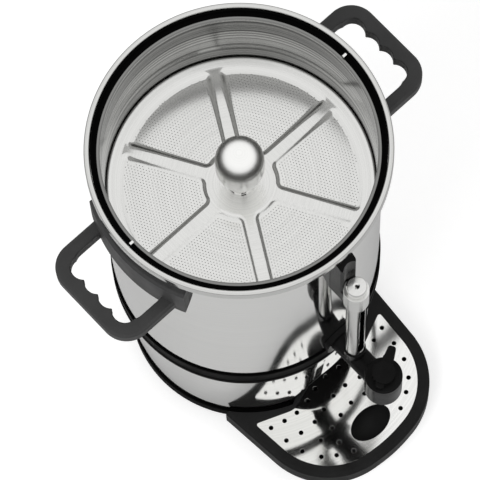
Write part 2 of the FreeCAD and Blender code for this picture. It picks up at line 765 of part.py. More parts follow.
def handle_screws():
    screws = []
    seat = BODY_RADIUS - SHEET
    for side in (0, 180):
        for angle in (-HANDLE_SCREW_ANGLE, HANDLE_SCREW_ANGLE):
            base = seat - SCREW_HEAD
            head = outward_rod(SCREW_HEAD_RADIUS, base, SCREW_HEAD - SEAT, HANDLE_SCREW_HEIGHT)
            stem = outward_rod(SCREW_RADIUS - 0.1, base, FLANGE_THICK - 3, HANDLE_SCREW_HEIGHT)
            screws.append(spun(head.fuse(stem), side + angle))
    return screws


# Sight gauge

def gauge_bracket():
    front = BODY_RADIUS + BRACKET_DEPTH
    body = prism(outline([
        (-BRACKET_HALF, -BODY_RADIUS + 6),
        (-BRACKET_HALF, -front, 3.0),
        (BRACKET_HALF, -front, 3.0),
        (BRACKET_HALF, -BODY_RADIUS + 6),
    ]), BRACKET_BOTTOM, BRACKET_TOP)
    arm = prism(outline([
        (-BRACKET_HALF, -front + 4),
        (-BRACKET_HALF, -GAUGE_AT - 6, 4.0),
        (BRACKET_HALF, -GAUGE_AT - 6, 4.0),
        (BRACKET_HALF, -front + 4),
    ]), BRACKET_BOTTOM, BRACKET_BOTTOM + BRACKET_ARM)
    body = body.fuse(arm).cut(rod(BODY_RADIUS + SEAT, BRACKET_BOTTOM - 1, BRACKET_TOP + 1))
    body = body.cut(rod(NUT_RADIUS + SEAT, 0, RIM_HEIGHT, 0, -GAUGE_AT))
    slope = block(-30, 30, -front - 20, -front, BRACKET_TOP - 12, BRACKET_TOP + 12)
    slope.rotate(Vector(0, -front, BRACKET_TOP - 9), Vector(1, 0, 0), -40)
    return body.cut(slope).removeSplitter()


def gauge_nut():
    flats = []
    for step in range(8):
        angle = math.radians(step * 45 + 22.5)
        reach = NUT_RADIUS / math.cos(math.radians(22.5)) * 0.985
        flats.append((reach * math.cos(angle), reach * math.sin(angle)))
    nut = prism(outline(flats), GUARD_TOP + NUT_COLLAR, NUT_TOP)
    nut = nut.common(rod(NUT_RADIUS, GUARD_TOP, NUT_TOP + 1))
    nut = nut.fuse(rod(NUT_RADIUS - 1.5, GUARD_TOP, GUARD_TOP + NUT_COLLAR))
    nut.translate(Vector(0, -GAUGE_AT, 0))
    seal_foot = NUT_TOP - 2 * SEAL_HEIGHT
    groove = rod(GLASS_RADIUS + SEAL_WIDTH + SEAT, seal_foot, seal_foot + SEAL_HEIGHT, 0, -GAUGE_AT)
    return nut.cut(rod(GLASS_RADIUS + SEAT, 0, RIM_HEIGHT, 0, -GAUGE_AT)).cut(groove)


def gauge_cap():
    cap = turned([
        (VENT_RADIUS, NUT_TOP + SEAT),
        (CAP_RADIUS, NUT_TOP + SEAT),
        (CAP_RADIUS, CAP_TOP, 1.6),
        (VENT_RADIUS + 2, CAP_TOP),
        (VENT_RADIUS, CAP_TOP - 0.8),
    ])
    cap.translate(Vector(0, -GAUGE_AT, 0))
    return cap


def sight_glass():
    foot = TAP_HEIGHT + SHANK_RADIUS + 1
    return pipe(GLASS_RADIUS, GLASS_RADIUS - GLASS_WALL, foot, NUT_TOP - 2, 0, -GAUGE_AT)


def gauge_guard():
    guard = pipe(GUARD_RADIUS, GUARD_RADIUS - GUARD_WALL, GUARD_BOTTOM, GUARD_TOP, 0, -GAUGE_AT)
    front = GAUGE_AT + 2 * GUARD_RADIUS
    half = GUARD_SLOT / 2
    low = GUARD_BOTTOM + 12
    high = GUARD_TOP - 8
    slot = block(-half, half, -front, -GAUGE_AT, low, high)
    for height in (low, high):
        slot = slot.fuse(forward_rod(half, GAUGE_AT, front, height))
    return guard.cut(slot)


def gauge_seals():
    rings = []
    outer = GLASS_RADIUS + SEAL_WIDTH
    for low in (TAP_HEIGHT + SHANK_RADIUS + 5, NUT_TOP - 2 * SEAL_HEIGHT):
        rings.append(pipe(outer, GLASS_RADIUS + 0.1, low, low + SEAL_HEIGHT, 0, -GAUGE_AT))
    return rings


# Tap

def tap_body():
    near = BODY_RADIUS + SEAT
    rose = forward_rod(ROSE_RADIUS, near - 3, near + ROSE_THICK, TAP_HEIGHT)
    half = ROSE_RADIUS + 1
    rose = rose.common(block(-half, half, -TAP_AT, 0, BELT_TOP + SEAT, RIM_HEIGHT))
    shank = forward_rod(SHANK_RADIUS + 1.5, near - 2, TAP_AT, TAP_HEIGHT)
    tail = forward_rod(SHANK_RADIUS, CONTAINER_RADIUS - 12, near, TAP_HEIGHT)
    boss = rod(GUARD_RADIUS + 1.5, TAP_HEIGHT, GUARD_BOTTOM, 0, -GAUGE_AT)
    barrel = rod(BARREL_RADIUS, BARREL_BOTTOM + BARREL_TAPER, BARREL_TOP, 0, -TAP_AT)
    base = Vector(0, -TAP_AT, BARREL_BOTTOM)
    taper = Part.makeCone(SPOUT_RADIUS + 2, BARREL_RADIUS, BARREL_TAPER, base)
    spout = rod(SPOUT_RADIUS, SPOUT_BOTTOM, BARREL_BOTTOM + 2, 0, -TAP_AT)
    body = rose.fuse([shank, boss, barrel, taper, spout]).cut(rod(near, 0, RIM_HEIGHT)).fuse(tail)
    body = body.cut(forward_rod(BORE_RADIUS, CONTAINER_RADIUS - 13, TAP_AT, TAP_HEIGHT))
    body = body.cut(rod(PLUG_RADIUS + SEAT, BARREL_BOTTOM + 10, BARREL_TOP + 1, 0, -TAP_AT))
    body = body.cut(rod(SPOUT_RADIUS - 2.5, SPOUT_BOTTOM - 1, BARREL_BOTTOM + 12, 0, -TAP_AT))
    socket = rod(GLASS_RADIUS + SEAT, TAP_HEIGHT + 2, TAP_HEIGHT + SHANK_RADIUS + 5, 0, -GAUGE_AT)
    gland = rod(GUARD_RADIUS - GUARD_WALL, TAP_HEIGHT + SHANK_RADIUS + 5, GUARD_BOTTOM + 1, 0, -GAUGE_AT)
    return body.cut(socket).cut(gland).removeSplitter()


def tap_nut():
    nut = prism(hexagon(SHANK_RADIUS + 6), 0, 5).cut(rod(SHANK_RADIUS + 0.1, -1, 6))
    nut.rotate(Vector(0, 0, 0), Vector(1, 0, 0), 90)
    nut.translate(Vector(0, -CONTAINER_RADIUS + 9.5, TAP_HEIGHT))
    return nut


def tap_washer():
    ring = forward_rod(SHANK_RADIUS + 4, CONTAINER_RADIUS - 4.5, CONTAINER_RADIUS + 2, TAP_HEIGHT)
    ring = ring.cut(forward_rod(SHANK_RADIUS + 0.1, CONTAINER_RADIUS - 6, CONTAINER_RADIUS + 3, TAP_HEIGHT))
    return ring.common(rod(CONTAINER_RADIUS - SEAT, 0, RIM_HEIGHT))


def tap_plug():
    plug = rod(PLUG_RADIUS, BARREL_BOTTOM + 11, BARREL_TOP + 2, 0, -TAP_AT)
    plug = plug.fuse(rod(STEM_RADIUS, BARREL_TOP, BARREL_TOP + BONNET_HEIGHT + 3, 0, -TAP_AT))
    plug = plug.cut(Part.makeCylinder(BORE_RADIUS, 40, Vector(-20, -TAP_AT, TAP_HEIGHT), Vector(1, 0, 0)))
    return plug.cut(rod(BORE_RADIUS, BARREL_BOTTOM, TAP_HEIGHT, 0, -TAP_AT))


def tap_bonnet():
    low = BARREL_TOP + SEAT
    bonnet = turned([
        (STEM_RADIUS + SEAT, low + 2.6),
        (PLUG_RADIUS + SEAT, low + 2.6),
        (PLUG_RADIUS + SEAT, low),
        (BARREL_RADIUS, low),
        (BARREL_RADIUS, low + BONNET_HEIGHT - 2, 2.5),
        (STEM_RADIUS + SEAT, low + BONNET_HEIGHT - 2),
    ])
    bonnet.translate(Vector(0, -TAP_AT, 0))
    return bonnet


def tap_lever():
    low = BARREL_TOP + BONNET_HEIGHT - 1
    high = low + LEVER_THICK
    hub = rod(12.0, low, high + 2, 0, 0)
    arm = prism(outline([
        (0, -7.5),
        (LEVER_REACH, -4.0, 3.0),
        (LEVER_REACH, 4.0, 3.0),
        (0, 7.5),
    ]), low, high)
    tail = prism(outline([
        (-16, -4.5, 2.0),
        (0, -4.5),
        (0, 4.5),
        (-16, 4.5, 2.0),
    ]), low, high)
    lever = hub.fuse(arm).fuse(tail)
    lever = lever.cut(rod(STEM_RADIUS + 0.1, low - 1, low + 4))
    lever.rotate(Vector(0, 0, 0), Vector(0, 0, 1), LEVER_ANGLE)
    lever.translate(Vector(0, -TAP_AT, 0))
    return lever.removeSplitter()


# Percolator set

def pan(shrink, low, high):
    """One sunken sector between two ribs, first sector from +X."""
    outer = COVER_RADIUS - COVER_RING - shrink
    inner = HUB_RADIUS + shrink
    half = math.radians(180 / PAN_COUNT)
    side = RIB_HALF + shrink
    far = half - math.asin(side / outer)
    near = half - math.asin(side / inner)
    def at(radius, angle):
        return Vector(radius * math.cos(angle), radius * math.sin(angle), low)
    edges = [
        Part.Arc(at(outer, -far), at(outer, 0), at(outer, far)).toShape(),
        Part.LineSegment(at(outer, far), at(inner, near)).toShape(),
        Part.LineSegment(at(inner, near), at(inner, -near)).toShape(),
        Part.LineSegment(at(inner, -near), at(outer, -far)).toShape(),
    ]
    body = Part.Face(Part.Wire(edges)).extrude(Vector(0, 0, high - low))
    upright = []
    for edge in body.Edges:
        if abs(edge.Vertexes[0].Z - edge.Vertexes[-1].Z) > 1:
            upright.append(edge)
    body = body.makeFillet(PAN_CORNER - shrink, upright)
    return spun(body, 180 / PAN_COUNT)


def spreader_cover():
    floor = COVER_HEIGHT - PAN_DEPTH
    cover = rod(COVER_RADIUS, COVER_HEIGHT - COVER_SHEET, COVER_HEIGHT)
    dish = pan(0, floor - COVER_SHEET, COVER_HEIGHT - COVER_SHEET / 2)
    hollow = pan(COVER_SHEET, floor, COVER_HEIGHT + 1)
    for step in range(PAN_COUNT):
        cover = cover.fuse(spun(dish, step * 360 / PAN_COUNT))
    for step in range(PAN_COUNT):
        cover = cover.cut(spun(hollow, step * 360 / PAN_COUNT))
    return cover.cut(rod(RISER_RADIUS + SLIP, 0, RIM_HEIGHT)).removeSplitter()


def spray_dome():
    low = COVER_HEIGHT
    skin = [
        (DOME_NECK, low),
        (DOME_NECK, low + 8, 6.0),
        (DOME_RADIUS, low + DOME_BULGE, DOME_BEND),
        (DOME_RADIUS - 1.0, DOME_TOP, DOME_CROWN),
        (0, DOME_TOP),
    ]
    void = [
        (DOME_NECK - DOME_SHEET, low),
        (DOME_NECK - DOME_SHEET, low + 8, 6.0),
        (DOME_RADIUS - DOME_SHEET, low + DOME_BULGE, DOME_BEND),
        (DOME_RADIUS - 1.0 - DOME_SHEET, DOME_TOP - DOME_SHEET, DOME_CROWN - DOME_SHEET),
        (0, DOME_TOP - DOME_SHEET),
    ]
    dome = turned([(0, low)] + skin).cut(turned([(0, low)] + void))
    for step in range(DOME_WINDOWS):
        window = block(DOME_NECK - 4, DOME_NECK + 4, -4, 4, low + 1.5, low + 5.5)
        dome = dome.cut(spun(window, step * 360 / DOME_WINDOWS))
    return dome


def filter_basket():
    top = COVER_HEIGHT - COVER_SHEET - SEAT
    low = top - BASKET_HEIGHT
    basket = turned([
        (RISER_RADIUS + SLIP, low),
        (BASKET_RADIUS, low, BASKET_BEND),
        (BASKET_RADIUS, top - SHEET),
        (BASKET_RADIUS + BASKET_LIP, top - SHEET),
        (BASKET_RADIUS + BASKET_LIP, top),
        (BASKET_RADIUS - SHEET, top),
        (BASKET_RADIUS - SHEET, low + SHEET, BASKET_BEND - SHEET),
        (RISER_RADIUS + SLIP + SHEET, low + SHEET),
        (RISER_RADIUS + SLIP + SHEET, top - 12),
        (RISER_RADIUS + SLIP, top - 12),
    ])
    for share in BASKET_RINGS:
        radius = share * BASKET_RADIUS
        count = int(2 * math.pi * radius / BASKET_RING_STEP)
        for step in range(count):
            angle = 2 * math.pi * step / count
            x = radius * math.cos(angle)
            y = radius * math.sin(angle)
            basket = basket.cut(rod(BASKET_HOLE, low - 1, low + SHEET + 1, x, y))
    return basket


def riser_tube():
    low = CONTAINER_FLOOR - SUMP_DEPTH + BELL_HEIGHT - 2
    seat = COVER_HEIGHT - COVER_SHEET - 2 * SEAT - BASKET_HEIGHT
    tube = pipe(RISER_RADIUS, RISER_RADIUS - RISER_WALL, low, RISER_TOP)
    return tube.fuse(pipe(RISER_COLLAR, RISER_RADIUS - RISER_WALL, seat - 3, seat)).removeSplitter()


def riser_bell():
    low = CONTAINER_FLOOR - SUMP_DEPTH + SEAT
    top = low + BELL_HEIGHT
    bell = turned([
        (BELL_RADIUS - 1.2, low),
        (BELL_RADIUS, low),
        (BELL_RADIUS, low + 6, 3.0),
        (RISER_RADIUS + 3, top - 6, 3.0),
        (RISER_RADIUS + 2.2, top + 4),
        (RISER_RADIUS + 0.1, top + 4),
        (RISER_RADIUS + 0.1, top - 7, 2.0),
        (BELL_RADIUS - 1.2, low + 5, 2.0),
    ])
    for step in range(4):
        notch = block(BELL_RADIUS - 6, BELL_RADIUS + 2, -5, 5, low - 1, low + 3)
        bell = bell.cut(spun(notch, step * 90 + 45))
    return bell


# Heating and electrical parts

def pump_heater():
    top = CONTAINER_FLOOR - SUMP_DEPTH - SHEET
    return turned([
        (HEATER_INNER, top - HEATER_THICK),
        (HEATER_OUTER - 4, top - HEATER_THICK, 4.0),
        (HEATER_OUTER, top - HEATER_THICK / 2, 3.0),
        (HEATER_OUTER - 2, top),
        (HEATER_INNER, top),
    ])


def warming_heater():
    top = CONTAINER_FLOOR - SHEET
    return pipe(WARMER_OUTER, WARMER_INNER, top - WARMER_THICK, top)


def heater_clamp():
    top = CONTAINER_FLOOR - SUMP_DEPTH - SHEET - HEATER_THICK
    bar = block(-CLAMP_HALF, CLAMP_HALF, -7, 7, top - CLAMP_THICK, top)
    return bar.cut(rod(ROD_RADIUS + SEAT, 0, RIM_HEIGHT))


def tie_rod():
    top = CONTAINER_FLOOR - SUMP_DEPTH - SHEET
    return rod(ROD_RADIUS, FOOT_CLEAR - 2, top)


def tie_nuts():
    top = CONTAINER_FLOOR - SUMP_DEPTH - SHEET - HEATER_THICK - CLAMP_THICK
    nuts = []
    for low in (top - ROD_NUT_TALL, PLATE_SEAT - ROD_NUT_TALL):
        nut = prism(hexagon(ROD_NUT_RADIUS), low, low + ROD_NUT_TALL)
        nuts.append(nut.cut(rod(ROD_RADIUS + 0.1, 0, RIM_HEIGHT)))
    return nuts


def thermostats():
    top = CONTAINER_FLOOR - SHEET
    low = top - CUTOUT_TALL
    half = TAG_WIDE / 2
    discs = []
    for angle in CUTOUT_ANGLES:
        x = CUTOUT_CIRCLE * math.cos(math.radians(angle))
        y = CUTOUT_CIRCLE * math.sin(math.radians(angle))
        tag = block(x - half, x + half, y - TAG_HALF, y + TAG_HALF, low + TAG_THICK, low + 2 * TAG_THICK)
        discs.append(rod(CUTOUT_RADIUS, low, top, x, y).fuse(tag))
    return discs


def terminal_block():
    low = PLATE_SEAT + PLATE
    half = BLOCK_WIDE / 2
    deep = BLOCK_DEEP / 2
    body = block(-half, half, BLOCK_AT - deep, BLOCK_AT + deep, low, low + BLOCK_TALL)
    for step in (-1, 0, 1):
        body = body.cut(rod(2.5, low + 5, low + BLOCK_TALL + 1, step * BLOCK_PITCH, BLOCK_AT))
    return body


def switch_body(extra):
    reach = skirt_radius(SWITCH_HEIGHT)
    half = SWITCH_WIDE / 2 + extra
    tall = SWITCH_TALL / 2 + extra
    low = SWITCH_HEIGHT - tall
    body = block(reach - FITTING_DEPTH, reach + FITTING_STAND, -half, half, low, low + 2 * tall)
    return spun(body, SWITCH_ANGLE)


def switch_frame():
    reach = skirt_radius(SWITCH_HEIGHT)
    half = SWITCH_WIDE / 2
    tall = SWITCH_TALL / 2
    front = reach + SWITCH_FRONT
    low = SWITCH_HEIGHT - tall
    housing = block(reach - FITTING_DEPTH, front, -half, half, low, low + 2 * tall)
    half = half - SWITCH_RIM
    tall = tall - SWITCH_RIM
    low = SWITCH_HEIGHT - tall
    well = block(front - SWITCH_DEPTH, front + 1, -half, half, low, low + 2 * tall)
    return spun(housing.cut(well).cut(rocker_pivot(SEAT)), SWITCH_ANGLE)


def rocker_pivot(extra):
    """Pin across the frame's mouth, before the turn to the switch's place."""
    half = SWITCH_WIDE / 2 - SWITCH_RIM + PIVOT_REACH + extra
    place = Vector(skirt_radius(SWITCH_HEIGHT) + SWITCH_FRONT - ROCKER_SINK, -half, SWITCH_HEIGHT)
    return Part.makeCylinder(PIVOT_RADIUS + extra, 2 * half, place, Vector(0, 1, 0))


def switch_rocker():
    """Rocker at rest with its lower end pressed in, on a pivot in the frame's mouth."""
    half = SWITCH_WIDE / 2 - SWITCH_RIM - SLIP
    tall = SWITCH_TALL / 2 - SWITCH_RIM - 3 * SLIP
    side = outline([
        (-ROCKER_BACK, -tall + 5),
        (2.5, -tall),
        (ROCKER_FACE, -tall, 1.0),
        (ROCKER_FACE - ROCKER_DISH, 0, 30.0),
        (ROCKER_FACE, tall, 1.0),
        (2.5, tall),
        (-ROCKER_BACK, tall - 5),
    ])
    body = Part.Face(side).extrude(Vector(0, 0, 2 * half))
    body.rotate(Vector(0, 0, 0), Vector(1, 0, 0), 90)
    body.translate(Vector(0, half, 0))
    body.rotate(Vector(0, 0, 0), Vector(0, 1, 0), -ROCKER_TILT)
    body.translate(Vector(skirt_radius(SWITCH_HEIGHT) + SWITCH_FRONT - ROCKER_SINK, 0, SWITCH_HEIGHT))
    return spun(body.fuse(rocker_pivot(0)), SWITCH_ANGLE)


def lamp_stems(extra):
    stems = []
    height = SWITCH_HEIGHT + LAMP_STEP
    near = skirt_radius(height) - LAMP_LENGTH
    for step in (-0.5, 0.5):
        stem = outward_rod(LAMP_RADIUS + extra, near, LAMP_LENGTH + LAMP_PROUD + 2, height)
        stems.append(spun(stem, SWITCH_ANGLE + step * LAMP_SPREAD))
    return stems


def pilot_lamps():
    lamps = []
    for step in (-0.5, 0.5):
        height = SWITCH_HEIGHT + LAMP_STEP
        lens = turned([(0, 0), (LAMP_RADIUS, 0), (LAMP_RADIUS, LAMP_LENGTH, 3.0), (0, LAMP_LENGTH)])
        lens.rotate(Vector(0, 0, 0), Vector(0, 1, 0), 90)
        lens.translate(Vector(skirt_radius(height) - LAMP_LENGTH + LAMP_PROUD, 0, height))
        lamps.append(spun(lens, SWITCH_ANGLE + step * LAMP_SPREAD))
    return lamps


def inlet_body(extra):
    reach = skirt_radius(INLET_HEIGHT)
    half = INLET_WIDE / 2 + extra
    tall = INLET_TALL / 2 + extra
    low = INLET_HEIGHT - tall
    body = block(reach - FITTING_DEPTH, reach + FITTING_STAND, -half, half, low, low + 2 * tall)
    return spun(body, 90)


def inlet_socket():
    reach = skirt_radius(INLET_HEIGHT)
    half = INLET_WIDE / 2
    tall = INLET_TALL / 2
    front = reach + INLET_FRONT
    low = INLET_HEIGHT - tall
    shell = block(reach - FITTING_DEPTH, front, -half, half, low, low + 2 * tall)
    mouth = prism(outline([
        (-8.5, -tall + 3, 1.0),
        (8.5, -tall + 3, 1.0),
        (12.0, 2.0, 1.0),
        (12.0, tall - 3, 1.0),
        (-12.0, tall - 3, 1.0),
        (-12.0, 2.0, 1.0),
    ]), 0, INLET_DEPTH + 1)
    mouth.rotate(Vector(0, 0, 0), Vector(1, 0, 0), 90)
    mouth.rotate(Vector(0, 0, 0), Vector(0, 0, 1), 90)
    mouth.translate(Vector(front - INLET_DEPTH, 0, INLET_HEIGHT))
    return spun(shell.cut(mouth), 90)


def inlet_pins():
    root = skirt_radius(INLET_HEIGHT) + INLET_FRONT - INLET_DEPTH
    pins = []
    for y, z in ((-6.5, -2.0), (0, 2.5), (6.5, -2.0)):
        low = INLET_HEIGHT + z - 2
        pin = block(root, root + PIN_LENGTH, y - 1, y + 1, low, low + 4)
        pins.append(spun(pin, 90))
    return pins


os.makedirs("parts", exist_ok=True)
keep("rim_bead", rim_bead())
keep("lid_seat", lid_seat())
keep("lid_lugs", *lid_lugs())
keep("outer_shell", outer_shell())
keep("inner_container", inner_container())
keep("belt_ring", belt_ring())
keep("base_skirt", base_skirt())
keep("foot_ring", foot_ring())
keep("recess_panel", recess_panel())
keep("bottom_plate", bottom_plate())
keep("foot_pads", *foot_pads())
keep("foot_screws", *foot_screws())
keep("drip_tray", drip_tray())
keep("drip_grid", drip_grid())
keep("handle_right", handle())
keep("handle_left", spun(handle(), 180))
keep("handle_screws", *handle_screws())
keep("gauge_bracket", gauge_bracket())
keep("gauge_nut", gauge_nut())
keep("gauge_cap", gauge_cap())
keep("sight_glass", sight_glass())
keep("gauge_guard", gauge_guard())
keep("gauge_seals", *gauge_seals())
keep("tap_body", tap_body())
keep("tap_nut", tap_nut())
keep("tap_washer", tap_washer())
keep("tap_plug", tap_plug())
keep("tap_bonnet", tap_bonnet())
keep("tap_lever", tap_lever())
keep("spreader_cover", spreader_cover())
keep("spray_dome", spray_dome())
keep("filter_basket", filter_basket())
keep("riser_tube", riser_tube())
keep("riser_bell", riser_bell())
keep("pump_heater", pump_heater())
keep("warming_heater", warming_heater())
keep("heater_clamp", heater_clamp())
keep("tie_rod", tie_rod())
keep("tie_nuts", *tie_nuts())
keep("thermostats", *thermostats())
keep("terminal_block", terminal_block())
keep("switch_frame", switch_frame())
keep("switch_rocker", switch_rocker())
keep("pilot_lamps", *pilot_lamps())
keep("inlet_socket", inlet_socket())
keep("inlet_pins", *inlet_pins())
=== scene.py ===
# %% [markdown]
# A catering coffee urn, seen from high above its front left.
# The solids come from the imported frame, and this script dresses them: it turns smooth skins for the
# polished steel, presses the spreader cover, softens moulded edges, and gives every surface its finish.

# %% Load the frame
import json
import math
import bmesh
import bpy
from mathutils import Matrix, Vector

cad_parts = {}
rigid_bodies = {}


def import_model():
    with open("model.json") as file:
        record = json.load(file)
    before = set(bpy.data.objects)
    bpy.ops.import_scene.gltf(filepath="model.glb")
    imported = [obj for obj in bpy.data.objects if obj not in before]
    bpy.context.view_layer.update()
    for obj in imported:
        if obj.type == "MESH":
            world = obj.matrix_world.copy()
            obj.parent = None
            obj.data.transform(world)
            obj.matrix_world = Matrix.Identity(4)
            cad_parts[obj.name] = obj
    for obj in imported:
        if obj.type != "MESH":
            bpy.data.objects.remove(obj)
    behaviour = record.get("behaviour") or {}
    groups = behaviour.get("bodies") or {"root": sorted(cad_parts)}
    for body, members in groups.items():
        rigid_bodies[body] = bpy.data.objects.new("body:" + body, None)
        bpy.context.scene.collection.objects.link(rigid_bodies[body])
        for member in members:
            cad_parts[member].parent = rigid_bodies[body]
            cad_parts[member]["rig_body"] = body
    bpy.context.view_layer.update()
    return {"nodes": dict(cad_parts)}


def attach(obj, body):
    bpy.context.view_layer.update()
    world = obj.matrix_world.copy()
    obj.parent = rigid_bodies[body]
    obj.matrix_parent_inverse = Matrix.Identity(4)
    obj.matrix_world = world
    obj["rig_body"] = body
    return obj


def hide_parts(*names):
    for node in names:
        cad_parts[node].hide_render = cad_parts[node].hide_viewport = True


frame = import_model()

# %% [markdown]
# The photograph was taken from far away with a long lens, looking steeply down. A camera is three turns
# and a lens: pan and tilt aim it, roll turns it about its own line of sight. Setting its matrix
# from three perpendicular directions is exact, where aiming at a target would leave the roll to chance.

# %% Camera at the photograph's viewpoint
CAMERA_PLACE = (-0.73146, -0.89810, 3.79224)
PAN = math.radians(39.16) - 0.0044    # radians from +Y towards +X
TILT = 1.2564                         # radians below level
ROLL = -0.0708
LENS = 270.25                         # mm, on a sensor 36 mm wide

ahead = Vector((math.sin(PAN) * math.cos(TILT), math.cos(PAN) * math.cos(TILT), -math.sin(TILT)))
flat_right = Vector((math.cos(PAN), -math.sin(PAN), 0))
flat_up = flat_right.cross(ahead)
right = flat_right * math.cos(ROLL) + flat_up * math.sin(ROLL)
up = flat_up * math.cos(ROLL) - flat_right * math.sin(ROLL)
lens = bpy.data.cameras.new("photo_camera")
lens.lens = LENS
lens.sensor_width = 36.0
lens.clip_end = 20.0
camera = bpy.data.objects.new("photo_camera", lens)
turn = Matrix((right, up, -ahead)).transposed()
camera.matrix_world = Matrix.Translation(CAMERA_PLACE) @ turn.to_4x4()
bpy.context.scene.collection.objects.link(camera)
bpy.context.scene.camera = camera
print("camera", [round(v, 3) for v in camera.location], "looks", [round(v, 3) for v in ahead])

# %% [markdown]
# Every finish is a small tree of nodes. Hex colours are how a screen shows a colour, and a shader works in
# linear light, so one function turns the one into the other. A second one adds a node with its settings
# and links in a single line, which keeps each finish short enough to read as a recipe.

# %% Colours and nodes
def colour(code):
    """Linear colour of an sRGB hex value."""
    shares = [int(code[i:i + 2], 16) / 255 for i in (1, 3, 5)]
    linear = [s / 12.92 if s <= 0.04045 else ((s + 0.055) / 1.055) ** 2.4 for s in shares]
    return (*linear, 1.0)


def add(tree, kind, inputs=None, **settings):
    """New node, whose inputs take numbers, colours or another node's socket."""
    node = tree.nodes.new(kind)
    for name, value in settings.items():
        setattr(node, name, value)
    for key, value in (inputs or {}).items():
        if isinstance(value, bpy.types.NodeSocket):
            tree.links.new(value, node.inputs[key])
        else:
            node.inputs[key].default_value = value
    return node


def new_finish(name):
    """Empty material tree."""
    material = bpy.data.materials.new(name)
    material.use_nodes = True
    material.node_tree.nodes.clear()
    return material, material.node_tree


def per_mm(size):
    """Scale of a pattern whose features are this many millimetres across."""
    return 1000.0 / size


print("white is", colour("#FFFFFF"))

# %% [markdown]
# Stainless steel 304 is one metal with five finishes here, and a finish is mostly how far the metal was
# polished. The body is buffed on a lathe to a mirror, the rim is a duller rolled bead, the dome is spun, the
# spreader cover is pressed from satin sheet, and the vessel's inside keeps the brushing of its sheet. All
# were worked round the urn's axis, so their lines are made from height and radius alone: noise read along
# those two can only vary in rings. Real lines are under 0.1 mm apart and are drawn coarser here.
# On the vessel's inside the lines are painted far darker than steel: painted reflection streaks and shade.

# %% Stainless steel finishes
CLOUD_SIZE = 60.0                   # mm across a patch of cloudier gloss
NOISE_LOW, NOISE_HIGH = 0.3, 0.7    # a noise seldom leaves this range
LINE_LOW, LINE_HIGH = 0.35, 0.65    # narrower, so that pale and deep lines stay apart
MARK_HEIGHT = 0.0001                # m, the tallest tool mark or grain
WAVE_HEIGHT = 0.001                 # m, the tallest wave of thin sheet


def lathe_steel(name, pale, deep, smooth, rough, line, depth, wave):
    """Steel with rings of tool marks, a slow waviness of the sheet and cloudy gloss."""
    material, tree = new_finish(name)
    place = add(tree, "ShaderNodeTexCoord").outputs["Object"]
    split = add(tree, "ShaderNodeSeparateXYZ", {0: place})
    flat = add(tree, "ShaderNodeCombineXYZ", {0: split.outputs[0], 1: split.outputs[1]})
    reach = add(tree, "ShaderNodeVectorMath", {0: flat.outputs[0]}, operation="LENGTH")
    track = add(tree, "ShaderNodeCombineXYZ", {0: reach.outputs["Value"], 2: split.outputs[2]})
    lines = add(tree, "ShaderNodeTexNoise", {
        "Vector": track.outputs[0], "Scale": per_mm(line), "Detail": 3.0})
    clouds = add(tree, "ShaderNodeTexNoise", {"Vector": place, "Scale": per_mm(CLOUD_SIZE), "Detail": 1.0})
    share = add(tree, "ShaderNodeMapRange", {
        "Value": lines.outputs[0], "From Min": LINE_LOW, "From Max": LINE_HIGH})
    tone = add(tree, "ShaderNodeMix", {0: share.outputs[0], 6: colour(deep), 7: colour(pale)},
               data_type="RGBA")
    gloss = add(tree, "ShaderNodeMapRange", {
        "Value": clouds.outputs[0], "From Min": NOISE_LOW, "From Max": NOISE_HIGH,
        "To Min": smooth, "To Max": rough})
    marks = add(tree, "ShaderNodeBump", {
        "Height": lines.outputs[0], "Strength": depth, "Distance": MARK_HEIGHT})
    sheet = add(tree, "ShaderNodeBump", {
        "Height": clouds.outputs[0], "Strength": wave, "Distance": WAVE_HEIGHT, "Normal": marks.outputs[0]})
    shader = add(tree, "ShaderNodeBsdfPrincipled", {
        "Base Color": tone.outputs[2], "Metallic": 1.0, "Roughness": gloss.outputs[0],
        "Normal": sheet.outputs[0]})
    add(tree, "ShaderNodeOutputMaterial", {0: shader.outputs[0]})
    return material


# Buffed mirror: crisp reflections of the tray and tap, with a faint wobble that gives away thin sheet.
mirror_steel = lathe_steel("stainless_steel_buffed_mirror", "#F2F2F0", "#EAEAE8", 0.05, 0.09, 1.6, 0.03, 0.05)
# Spun dome: a hazy polish that smears what it mirrors into one broad highlight.
spun_steel = lathe_steel("stainless_steel_spun", "#FCFCFA", "#F6F6F4", 0.26, 0.34, 1.6, 0.03, 0.0)
# Satin pressing: soft and pale, with just enough gloss to mirror the dark wall in its far edge.
satin_steel = lathe_steel("stainless_steel_satin_pressed", "#E2E2E0", "#DADAD8", 0.13, 0.19, 1.6, 0.02, 0.0)
# Rolled bead: a duller polish than the body, so the rim reads as grey metal between two bright lines.
bead_steel = lathe_steel("stainless_steel_rolled_bead", "#DADAD8", "#CECECC", 0.12, 0.18, 1.6, 0.03, 0.0)
# Brushed sheet: rings of light and dark run round the wall under the lip. The rings follow the brushing's
# grain, and their deep tone, far darker than steel, is painted reflection streaks and painted shade inside.
brushed_steel_painted_shade = lathe_steel("stainless_steel_brushed_painted_shade", "#B2B2B0", "#2C2C2A", 0.16, 0.26, 4.0, 0.30, 0.0)
print("steels", mirror_steel.name, spun_steel.name, satin_steel.name, bead_steel.name, brushed_steel_painted_shade.name)

# %% [markdown]
# The dark mouldings are ABS, nylon and rubber. ABS in three glosses makes the tap, the tray and the belt,
# a grey one the tap's plug, glass filled nylon the handles, and natural rubber the feet and seals. A
# moulding copies the grain etched in its tool, so one noise at the grain's size lifts the surface, and a
# slower one changes its tone and gloss as handling does.

# %% Moulded plastics and rubber
WEAR_SIZE = 18.0                    # mm across a patch changed by handling


